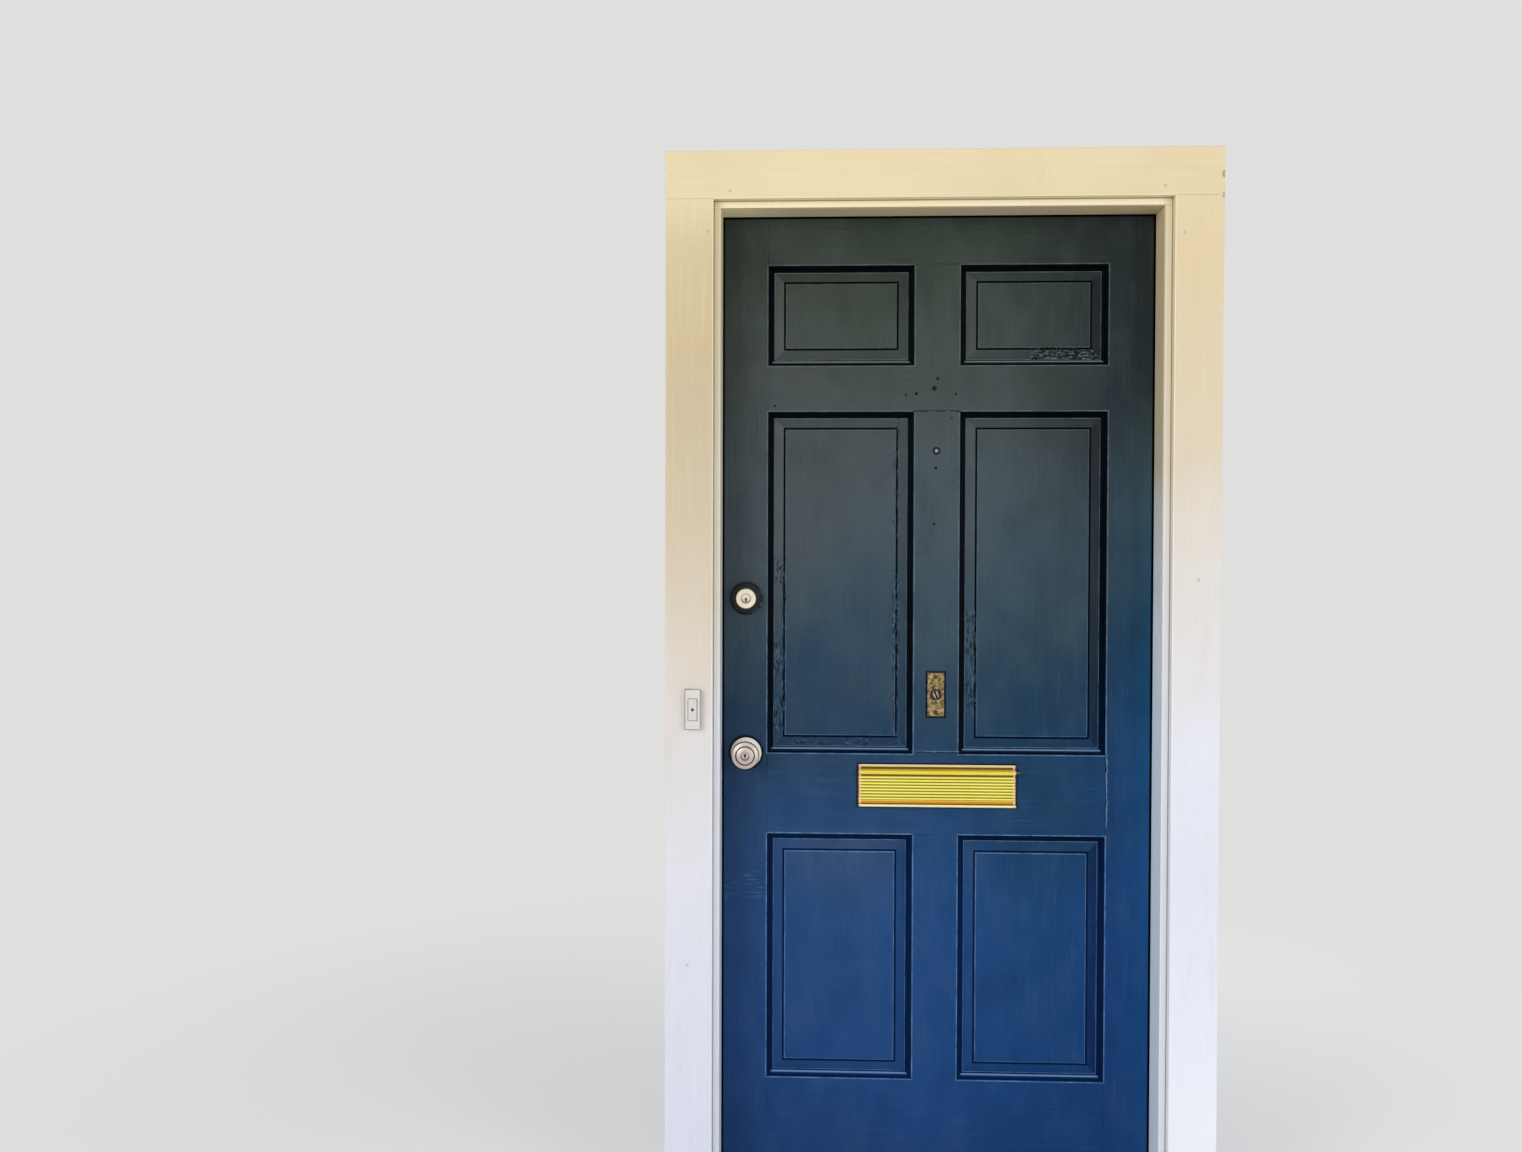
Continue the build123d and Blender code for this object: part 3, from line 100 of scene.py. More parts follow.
class Finish:
    """A material for one finish, its colour laid coat by coat, over the piece's own object coordinates."""

    def __init__(self, name, tone=None):
        self.tone = tone
        self.material = bpy.data.materials.new(name)
        self.material.use_nodes = True
        self.tree = self.material.node_tree
        self.tree.nodes.clear()
        self.shader = self.node("ShaderNodeBsdfPrincipled")
        self.output = self.node("ShaderNodeOutputMaterial")
        self.put(self.output, Surface=self.shader.outputs["BSDF"])
        self.place = self.node("ShaderNodeTexCoord").outputs["Object"]
        self.x, self.y, self.z = self.parts(self.place)

    def node(self, kind, **settings):
        made = self.tree.nodes.new(kind)
        for name, value in settings.items():
            setattr(made, name, value)
        return made

    def feed(self, socket, value):
        """Links a socket, or sets a plain number or colour on it."""
        if isinstance(value, bpy.types.NodeSocket):
            self.tree.links.new(value, socket)
        else:
            socket.default_value = value

    def put(self, node, **inputs):
        """Feeds a node's inputs by their names."""
        for name, value in inputs.items():
            self.feed(node.inputs[name.replace("_", " ")], value)

    def finished(self, **inputs):
        """The material, once the shader has the colour laid so far and its other inputs."""
        self.put(self.shader, Base_Color=self.tone, **inputs)
        return self.material

    def lay(self, tone, *masks, mode="MIX"):
        """Lays a colour over the ones so far, as thick as its masks multiplied."""
        self.tone = self.blend(self.times(*masks), self.tone, tone, mode)

    def relief(self, normal, *layers):
        """A normal under layers of bumps, each a height from 0 to 1 and its depth in metres."""
        for height, depth in layers:
            normal = self.bump(height, depth, normal)
        return normal

    def parts(self, vector):
        """The X, Y and Z of a vector."""
        split = self.node("ShaderNodeSeparateXYZ")
        self.feed(split.inputs[0], vector)
        return tuple(split.outputs)

    def mapped(self, scale, move):
        """The piece's coordinates, stretched and moved."""
        mapping = self.node("ShaderNodeMapping")
        self.put(mapping, Vector=self.place, Scale=scale, Location=move)
        return mapping.outputs["Vector"]

    def noise(self, size, stretch=(1, 1, 1), move=(0, 0, 0), detail=4.0, rough=0.55, warp=0.0):
        """Noise whose features are about size metres across before the stretch."""
        texture = self.node("ShaderNodeTexNoise")
        self.put(texture, Vector=self.mapped(stretch, move), Scale=1 / size)
        self.put(texture, Detail=detail, Roughness=rough, Distortion=warp)
        return texture.outputs["Fac"]

    def frayed(self, size, amount):
        """Noise about 0 that frays the edge of a mark."""
        return self.span(self.noise(size, detail=5.0, rough=0.7), 0.3, 0.7, -amount, amount)

    def span(self, value, low, high, new_low=0.0, new_high=1.0):
        """Stretches a range of a value to another range, clamped."""
        ranged = self.node("ShaderNodeMapRange", clamp=True)
        self.put(ranged, Value=value, From_Min=low, From_Max=high, To_Min=new_low, To_Max=new_high)
        return ranged.outputs["Result"]

    def spots(self, size, low, high, stretch=(1, 1, 1), move=(0, 0, 0), detail=5.0, rough=0.7):
        """0 where the noise stays under low, 1 where it passes high."""
        return self.span(self.noise(size, stretch, move, detail, rough), low, high)

    def work(self, operation, first, *others):
        """Works an operation through values, from the first to the last."""
        for other in others:
            worked = self.node("ShaderNodeMath", operation=operation)
            self.feed(worked.inputs[0], first)
            self.feed(worked.inputs[1], other)
            first = worked.outputs[0]
        return first

    def times(self, *values):
        return self.work("MULTIPLY", *values)

    def plus(self, *values):
        return self.work("ADD", *values)

    def minus(self, a, b):
        return self.work("SUBTRACT", a, b)

    def most(self, *values):
        return self.work("MAXIMUM", *values)

    def least(self, *values):
        return self.work("MINIMUM", *values)

    def size(self, value):
        """A value without its sign."""
        return self.work("ABSOLUTE", value, 0.0)

    def inverse(self, value):
        return self.minus(1.0, value)

    def band(self, value, low, high, soft):
        """1 where a value lies between low and high, falling to 0 over soft on each side."""
        return self.times(self.span(value, low - soft, low), self.span(value, high, high + soft, 1.0, 0.0))

    def patch(self, low, high, soft):
        """1 inside a rectangle of the front, given by its (X, Z) corners."""
        across = self.band(self.x, low[0], high[0], soft)
        return self.times(across, self.band(self.z, low[1], high[1], soft))

    def around(self, x, z):
        """Distance from a Y axis through a place on the front."""
        across = self.minus(self.x, x)
        up = self.minus(self.z, z)
        return self.work("SQRT", self.plus(self.times(across, across), self.times(up, up)), 0.0)

    def ramp(self, value, stops):
        """A row of colours along a value from 0 to 1."""
        ramp = self.node("ShaderNodeValToRGB")
        self.put(ramp, Fac=value)
        for index, (place, tone) in enumerate(stops):
            stop = ramp.color_ramp.elements[index] if index < 2 else ramp.color_ramp.elements.new(place)
            stop.position = place
            stop.color = tone
        return ramp.outputs["Color"]

    def blend(self, factor, a, b, mode="MIX"):
        """Colour a turning to colour b by a factor."""
        mix = self.node("ShaderNodeMix", data_type="RGBA", blend_type=mode, clamp_factor=True)
        self.feed(mix.inputs[0], factor)
        self.feed(mix.inputs[6], a)
        self.feed(mix.inputs[7], b)
        return mix.outputs[2]

    def choose(self, factor, a, b):
        """Number a turning to number b by a factor."""
        mix = self.node("ShaderNodeMix", data_type="FLOAT", clamp_factor=True)
        self.feed(mix.inputs[0], factor)
        self.feed(mix.inputs[2], a)
        self.feed(mix.inputs[3], b)
        return mix.outputs[0]

    def line_round(self, middle, half, width):
        """1 on a line just outside a rectangle of the front, given by its middle and half sizes."""
        across = self.minus(self.size(self.minus(self.x, middle[0])), half[0])
        up = self.minus(self.size(self.minus(self.z, middle[1])), half[1])
        return self.band(self.most(across, up), -0.002, width, 0.0008)

    def crevices(self, reach, low, high, samples=6):
        """0 on open faces, towards 1 in corners and grooves that are closed from low to high."""
        shade = self.node("ShaderNodeAmbientOcclusion", samples=samples, only_local=False)
        self.put(shade, Distance=reach)
        return self.span(self.inverse(shade.outputs["AO"]), low, high)

    def true_normal(self):
        return self.node("ShaderNodeNewGeometry").outputs["Normal"]

    def facing_up(self):
        """The upward part of the surface's normal, which a turn of the leaf on its hinges leaves as it is."""
        return self.parts(self.true_normal())[2]

    def front_only(self):
        """1 on the casings' flat front, 0 on all that lies behind it."""
        return self.span(self.y, casing_front_y + 0.0002, casing_front_y)

    def soft_edges(self, radius):
        """A normal that rounds the piece's edges over a radius."""
        bevel = self.node("ShaderNodeBevel", samples=6)
        self.put(bevel, Radius=radius)
        return bevel.outputs["Normal"]

    def edges(self, radius):
        """0 on flat faces, towards 1 along the piece's edges."""
        dot = self.node("ShaderNodeVectorMath", operation="DOT_PRODUCT")
        self.feed(dot.inputs[0], self.soft_edges(radius))
        self.feed(dot.inputs[1], self.true_normal())
        return self.span(dot.outputs["Value"], 1.0, 0.80)

    def bump(self, height, depth, under=None):
        """A bump of a depth in metres for a height from 0 to 1, over another normal."""
        bumped = self.node("ShaderNodeBump")
        self.put(bumped, Height=height, Distance=depth, Strength=1.0)
        if under is not None:
            self.put(bumped, Normal=under)
        return bumped.outputs["Normal"]


def colour(red, green, blue):
    """A colour given as it shows on a screen, from 0 to 255, as the shader's linear values."""
    def linear(value):
        share = value / 255
        return share / 12.92 if share <= 0.04045 else ((share + 0.055) / 1.055) ** 2.4

    return (linear(red), linear(green), linear(blue), 1.0)


def along(grain, share):
    """The stretch that draws noise out along the grain."""
    return {"X": (share, 1.0, 1.0), "Z": (1.0, 1.0, share)}[grain]


# Brushed paint on the leaf: slate towards the top, blue towards the bottom. Over the paint's own navy, this
# change is painted light: porch shade towards the top, bluish sky reflection towards the bottom.

paint_and_light_by_height = (
    (0.00, colour(22, 60, 112)),
    (0.12, colour(26, 68, 124)),
    (0.29, colour(32, 72, 124)),
    (0.41, colour(34, 66, 102)),
    (0.49, colour(33, 61, 86)),
    (0.57, colour(54, 74, 88)),
    (0.69, colour(68, 80, 86)),
    (0.80, colour(68, 77, 76)),
    (0.90, colour(58, 67, 60)),
    (0.99, colour(45, 55, 48)),
)
# Multipliers across the leaf: painted shade towards both jambs, and painted light along the right edge.
painted_light_by_side = (
    (0.00, (0.82, 0.80, 0.80, 1.0)),
    (0.22, (1.00, 0.96, 0.95, 1.0)),
    (0.50, (1.00, 1.00, 1.00, 1.0)),
    (0.78, (0.84, 0.88, 0.88, 1.0)),
    (0.90, (0.62, 0.80, 0.90, 1.0)),
    (0.955, (0.94, 1.19, 1.17, 1.0)),
    (1.00, (1.60, 1.66, 1.42, 1.0)),
)
low_right_tint = (0.38, 0.88, 0.93, 1.0)
high_right_tint = (0.27, 0.27, 0.30, 1.0)
# The dark tone is for painted shade in the mouldings, quirks and corners, and for real cracks and pits. The
# pale tone that follows is for painted highlights, and for real scrapes and flakes.
shade_and_crack_by_height = (
    (0.00, colour(4, 26, 60)),
    (0.30, colour(5, 28, 66)),
    (0.42, colour(3, 14, 34)),
    (0.55, colour(1, 4, 9)),
    (1.00, colour(0, 3, 3)),
)
wear_and_glint_by_height = (
    (0.00, colour(96, 138, 188)),
    (0.35, colour(108, 148, 194)),
    (0.55, colour(112, 130, 146)),
    (1.00, colour(110, 120, 116)),
)
# Sheen tints: full gloss, and almost none in cracks and where shade is painted.
no_gloss = (0.03, 0.04, 0.05, 1.0)
full_gloss = (1.0, 1.0, 1.0, 1.0)

# Marks of age on the leaf, and one patch of painted sheen, in metres: a patch by its corners, a line by its
# two heights.
# In a list, each mark's softness at the edge comes next, and then how strong it is.
painted_sheen_patch = ((-0.25, 0.720), (-0.15, 0.770))
scraped_patch = ((-0.450, 0.640), (-0.362, 0.690))
flaked_low_bevel = ((0.195, 1.7600), (0.345, 1.7900))
flaking_patches = (
    (((-0.345, 0.985), (-0.317, 1.350), 0.006), 1.0),
    (((-0.089, 0.980), (-0.079, 1.680), 0.004), 0.9),
    (((0.066, 1.020), (0.084, 1.240), 0.005), 0.7),
    (((0.200, 1.7620), (0.343, 1.7880), 0.008), 1.0),
    (((-0.320, 0.958), (-0.060, 0.972), 0.004), 0.5),
)
mullion_splits = (
    ((0.9450, 0.9468, 0.0008), 1.0),
    ((1.6584, 1.6603, 0.0008), 1.0),
    ((1.9636, 1.9648, 0.0008), 0.5),
    ((0.7716, 0.7726, 0.0006), 0.4),
)


def opening_insets(coat):
    """How far a point lies inside a panel opening: sideways, in height, and from the nearest arris."""
    across = coat.size(coat.x)
    sideways = coat.least(coat.minus(across, mullion_half), coat.minus(stile_arris, across))
    rows = [coat.least(coat.minus(coat.z, low), coat.minus(high, coat.z)) for low, high in opening_rows]
    upward = coat.most(*rows)
    return sideways, upward, coat.least(sideways, upward)


def leaf_tone(coat):
    """Lays the coat by height and side, with its painted shade, reflection and light, clouded; returns the
    height and the dark and pale tones there.
    """
    cloud = coat.noise(0.30, detail=2.0)
    rise = coat.work("DIVIDE", coat.z, head_top)
    side = coat.span(coat.x, -leaf_half, leaf_half)
    bluer = coat.times(coat.span(side, 0.82, 0.96, 0.0, -0.11), coat.span(rise, 0.15, 0.45))
    rise = coat.plus(rise, coat.span(cloud, 0.3, 0.7, -0.04, 0.04), bluer)
    coat.tone = coat.ramp(rise, paint_and_light_by_height)
    coat.lay(coat.ramp(side, painted_light_by_side), 1.0, mode="MULTIPLY")
    low_right = coat.times(coat.span(side, 0.42, 0.72), coat.span(rise, 0.60, 0.42))
    coat.lay(low_right_tint, low_right, mode="MULTIPLY")
    high_right = coat.times(coat.span(side, 0.62, 0.96), coat.span(rise, 0.54, 0.74))
    coat.lay(high_right_tint, high_right, mode="MULTIPLY")
    # A faint painted sheen at the top of the bottom left panel.
    shine = coat.times(coat.patch(*painted_sheen_patch, 0.110), coat.span(coat.z, 0.790, 0.770))
    coat.lay(colour(140, 146, 150), shine, 0.07)
    mottle = coat.noise(0.06, (1.0, 1.0, 0.6), detail=3.0)
    coat.lay(colour(86, 104, 116), coat.span(mottle, 0.50, 0.80, 0.0, 0.12))
    coat.lay(colour(10, 26, 40), coat.span(mottle, 0.50, 0.25, 0.0, 0.20))
    return rise, coat.ramp(rise, shade_and_crack_by_height), coat.ramp(rise, wear_and_glint_by_height)


def brush_marks(coat, grain, move=(0, 0, 0)):
    """Fine streaks of the brush along the grain."""
    return coat.noise(0.0042, along(grain, 0.03), move, detail=5.0, rough=0.62)


def specks(coat, size, share, move):
    """Sparse dark pits where the older coats show."""
    texture = coat.node("ShaderNodeTexVoronoi", feature="F1")
    coat.put(texture, Vector=coat.mapped((1, 1, 1), move), Scale=1 / size)
    dots = coat.span(texture.outputs["Distance"], 0.016, 0.040, 1.0, 0.0)
    return coat.times(dots, coat.spots(0.28, share, share + 0.05, move=move, detail=1.0, rough=0.55))


def framing_paint(name, grain):
    """Satin paint on a member of the leaf's framing, with painted shade in the moulding and corners, painted
    highlights on its arrises, and painted shadow round the hardware and beside the stops; split at the
    joints.
    """
    coat = Finish(name)
    rise, dark, pale = leaf_tone(coat)
    strokes = brush_marks(coat, grain)
    broad = coat.noise(0.016, along(grain, 0.08), detail=3.0)
    # Brush marks laid paler and darker: partly the paint's own streaks, partly painted glints and shade of
    # their relief.
    coat.lay(pale, coat.span(strokes, 0.56, 0.82, 0.0, 0.13))
    coat.lay(dark, coat.span(strokes, 0.44, 0.20, 0.0, 0.34))
    upward, inset = opening_insets(coat)[1:]
    # Painted shade: the moulding round each opening is laid near black, less where it faces up to the light.
    moulding = coat.band(coat.plus(inset, coat.frayed(0.006, 0.0006)), 0.0005, 0.05, 0.0004)
    lit_below = coat.times(coat.span(coat.facing_up(), 0.15, 0.45), coat.span(inset, 0.0042, 0.0064))
    recess = coat.times(moulding, coat.choose(lit_below, 0.97, 0.45))
    coat.lay(dark, recess)
    broken = coat.span(coat.noise(0.035, detail=4.0, rough=0.7), 0.40, 0.60, 0.35, 1.0)
    # Painted highlights: a pale line along the arris, and one along the moulding's foot where it faces up.
    arris = coat.band(inset, -0.0018, 0.0000, 0.0006)
    lower = coat.span(rise, 0.85, 0.40, 0.45, 0.75)
    coat.lay(pale, arris, broken, lower)
    foot = coat.times(coat.band(inset, 0.0078, 0.0102, 0.0007), lit_below)
    coat.lay(pale, foot, 0.85)

    jagged = coat.noise(0.018, move=(2.0, 0.0, 5.0), detail=5.0, rough=0.65)
    wander = coat.span(jagged, 0.25, 0.75, -0.0035, 0.0035)
    beside = coat.span(upward, 0.0005, -0.0005)
    across = coat.plus(coat.size(coat.x), coat.times(wander, 0.25))
    rail_end = coat.times(coat.band(across, 0.3523, 0.3531, 0.0006), beside)
    rail_end = coat.times(rail_end, coat.span(jagged, 0.40, 0.62, 0.10, 0.65))
    split_x = coat.plus(coat.x, wander)
    split_z = coat.plus(coat.z, coat.times(wander, 0.6))
    on_lock_rail = coat.band(coat.z, 0.800, 0.936, 0.012)
    opened = coat.times(coat.band(split_x, 0.3533, 0.3545, 0.0008), on_lock_rail)
    on_mullions = coat.span(coat.size(coat.x), 0.052, 0.046)
    in_places = coat.span(jagged, 0.35, 0.55)
    crossing = [coat.times(coat.band(split_z, *line), share) for line, share in mullion_splits]
    crossing = coat.times(coat.most(*crossing), on_mullions, in_places)
    crack = coat.most(rail_end, opened, crossing)
    # Painted highlight: a pale lip beside each crack.
    lip = coat.times(coat.band(split_x, 0.3548, 0.3562, 0.0008), on_lock_rail)
    lip_up = coat.times(coat.band(split_z, 0.9472, 0.9484, 0.0008), on_mullions, in_places)
    coat.lay(dark, crack, 0.85)
    coat.lay(pale, coat.most(lip, lip_up), 0.75)

    scrape = coat.noise(0.0032, (0.10, 1.0, 1.0), move=(7.0, 0.0, 1.0), detail=4.0)
    coat.lay(pale, coat.span(scrape, 0.58, 0.66), coat.patch(*scraped_patch, 0.010), 0.22)
    pits = specks(coat, 0.050, 0.60, (3.1, 0.0, 1.7))
    coat.lay(dark, pits, 0.8)
    # Painted shade in the corners.
    corners = coat.crevices(0.009, 0.16, 0.42, samples=10)
    coat.lay(dark, corners, 0.96)
    ragged = coat.span(coat.noise(0.010, detail=5.0, rough=0.7), 0.3, 0.7, 0.55, 1.0)
    on_front = coat.span(coat.y, leaf_front + 0.020, leaf_front + 0.018)
    # Painted shadow: black lines round the mail plate, the bell plate and the knob rose, and beside the
    # stops.
    shadow_lines = coat.most(
        coat.line_round(mail_middle, (mail_half, mail_half_height), 0.0022),
        coat.times(coat.line_round((0.0, turn_plate_z), turn_plate_half, 0.0032), on_front),
        coat.band(coat.around(lock_x, knob_z), 0.0300, 0.0360, 0.0020),
    )
    beside_stops = coat.most(
        coat.band(coat.size(coat.x), 0.4438, 0.4474, 0.0006),
        coat.band(coat.z, 2.0598, 2.0632, 0.0006),
    )
    shadow_lines = coat.most(coat.times(shadow_lines, ragged), coat.times(beside_stops, on_front))
    coat.lay(colour(1, 2, 4), shadow_lines, 0.94)
    # Little sheen in the cracks and where shade or shadow is painted.
    dull_and_shaded = coat.most(recess, coat.times(corners, 0.95), coat.times(crack, 0.8), shadow_lines)
    return coat.finished(
        Roughness=coat.span(strokes, 0.3, 0.7, 0.34, 0.46),
        Specular_Tint=coat.blend(dull_and_shaded, full_gloss, no_gloss),
        Normal=coat.relief(
            coat.soft_edges(0.0008),
            (coat.noise(0.024, (1.0, 1.0, 0.5), detail=3.0), 0.0008),
            (broad, 0.00040),
            (strokes, 0.00020),
            (coat.noise(0.0075, (1.0, 1.0, 0.7), detail=4.0, rough=0.6), 0.00038),
            (coat.inverse(coat.most(pits, crack)), 0.0006),
        ),
        Specular_IOR_Level=0.14,
    )


def panel_paint(name):
    """Satin paint on a raised panel: brushed along each bevel, black with painted shade in the quirk, with
    painted highlights along its edges, flaking in places.
    """
    coat = Finish(name)
    rise, dark, pale = leaf_tone(coat)
    sideways, upward, inset = opening_insets(coat)
    bevel = coat.band(inset, moulding_width, quirk_start, 0.0002)
    level = coat.times(bevel, coat.span(coat.minus(sideways, upward), -0.0002, 0.0002))
    upright_strokes = brush_marks(coat, "Z", (0.7, 0.0, 0.3))
    strokes = coat.choose(level, upright_strokes, brush_marks(coat, "X", (0.2, 0.0, 0.9)))
    outward = coat.times(
        coat.minus(coat.size(coat.x), (stile_arris + mullion_half) / 2),
        coat.work("SIGN", coat.x, 0.0),
    )
    # Painted shade on the right-hand upright bevel of each panel, more on the right-hand panels; the level
    # bevels are laid a little darker.
    right_strip = coat.times(bevel, coat.inverse(level), coat.span(outward, -0.001, 0.001))
    right_panel = coat.span(coat.x, -0.01, 0.01, 0.15, 0.62)
    coat.lay(dark, right_strip, right_panel)
    coat.lay(dark, bevel, level, 0.10)
    # Brush marks laid paler and darker: partly the paint's own streaks, partly painted glints and shade of
    # their relief.
    coat.lay(pale, coat.span(strokes, 0.56, 0.82, 0.0, 0.09))
    coat.lay(dark, coat.span(strokes, 0.44, 0.20, 0.0, 0.20))

    streaks = coat.noise(0.010, (1.0, 1.0, 0.12), move=(4.0, 0.0, 2.0), detail=4.0, rough=0.65)
    right_side = coat.span(coat.x, 0.05, 0.30, 0.0, 0.05)
    coat.lay(pale, coat.span(streaks, 0.55, 0.68), right_side)

    # Painted shade under the edge of the moulding and in the quirk.
    worn_inset = coat.plus(inset, coat.frayed(0.006, 0.0004))
    under = coat.span(worn_inset, moulding_width + 0.0016, moulding_width + 0.0008)
    quirk = coat.band(worn_inset, quirk_start, quirk_end, 0.0004)
    recess = coat.most(under, quirk)
    coat.lay(dark, recess, 0.97)
    # Painted highlights: pale lines along the bevel's outer edge and the field's arris.
    broken = coat.span(coat.noise(0.040, detail=4.0, rough=0.7), 0.38, 0.62, 0.35, 1.0)
    lines = coat.most(
        coat.band(inset, 0.0124, 0.0140, 0.0006),
        coat.times(coat.band(inset, 0.0374, 0.0388, 0.0006), coat.span(rise, 0.60, 0.35, 0.55, 1.0)),
    )
    coat.lay(pale, lines, broken, 0.75)

    flaking = [coat.times(coat.patch(*area), share) for area, share in flaking_patches]
    flaking = coat.most(*flaking)
    splits = dict(detail=6.0, rough=0.75, warp=0.4)
    upright_split = coat.noise(0.0042, (1.0, 1.0, 0.30), (1.0, 0.0, 8.0), **splits)
    level_split = coat.noise(0.0042, (0.45, 1.0, 1.0), (6.0, 0.0, 3.0), **splits)
    split = coat.choose(level, upright_split, level_split)
    clusters = coat.spots(0.030, 0.40, 0.58, (1.0, 1.0, 0.4), move=(9.0, 0.0, 2.0), detail=3.0, rough=0.55)
    low_bevel = coat.times(level, coat.patch(*flaked_low_bevel, 0.004))
    clusters = coat.most(clusters, coat.times(low_bevel, 0.9))
    cracks = coat.times(coat.span(split, 0.47, 0.42), flaking, clusters)
    flakes = coat.times(coat.span(split, 0.53, 0.57), flaking, clusters, coat.choose(low_bevel, 0.50, 1.0))
    coat.lay(dark, cracks, 0.9)
    coat.lay(pale, flakes, 0.85)
    pits = specks(coat, 0.070, 0.57, (1.4, 0.0, 6.2))
    coat.lay(dark, pits, 0.8)

    # Little sheen in the cracks and where shade is painted.
    dull_and_shaded = coat.most(recess, coat.times(cracks, 0.8), coat.times(right_strip, 0.6))
    return coat.finished(
        Roughness=coat.span(strokes, 0.3, 0.7, 0.34, 0.46),
        Specular_Tint=coat.blend(dull_and_shaded, full_gloss, no_gloss),
        Normal=coat.relief(
            coat.soft_edges(0.0008),
            (coat.noise(0.030, (1.0, 1.0, 0.5), detail=3.0), 0.0009),
            (streaks, 0.00018),
            (strokes, 0.00014),
            (coat.noise(0.0075, (1.0, 1.0, 0.7), detail=4.0, rough=0.6), 0.00040),
            (coat.inverse(coat.most(pits, cracks)), 0.0008),
            (flakes, 0.0005),
        ),
        Specular_IOR_Level=0.14,
    )


# Gloss paint on the frame: cream towards the top, whiter towards the bottom. This change is partly the
# paint's own cream and partly painted light, warm above and bluish below. The first ramp is the pale tone of
# the frame's painted edge highlights.

edge_highlight_by_height = (
    (0.00, colour(246, 250, 255)),
    (0.50, colour(248, 250, 255)),
    (0.60, colour(250, 248, 246)),
    (0.72, colour(248, 240, 218)),
    (1.00, colour(242, 228, 188)),
)
gloss_and_light_by_height = (
    (0.00, colour(226, 230, 250)),
    (0.40, colour(230, 231, 240)),
    (0.56, colour(224, 218, 212)),
    (0.70, colour(220, 206, 180)),
    (0.90, colour(224, 204, 164)),
    (1.00, colour(232, 214, 172)),
)
chipped_corners = (((0.5535, 2.112), (0.560, 2.124)), ((0.5545, 2.072), (0.560, 2.082)))
nail_places = (
    (-0.427, 2.093),
    (-0.471, 2.012),
    (0.480, 2.003),
    (0.441, 2.096),
    (0.512, 1.310),
    (-0.512, 0.520),
)


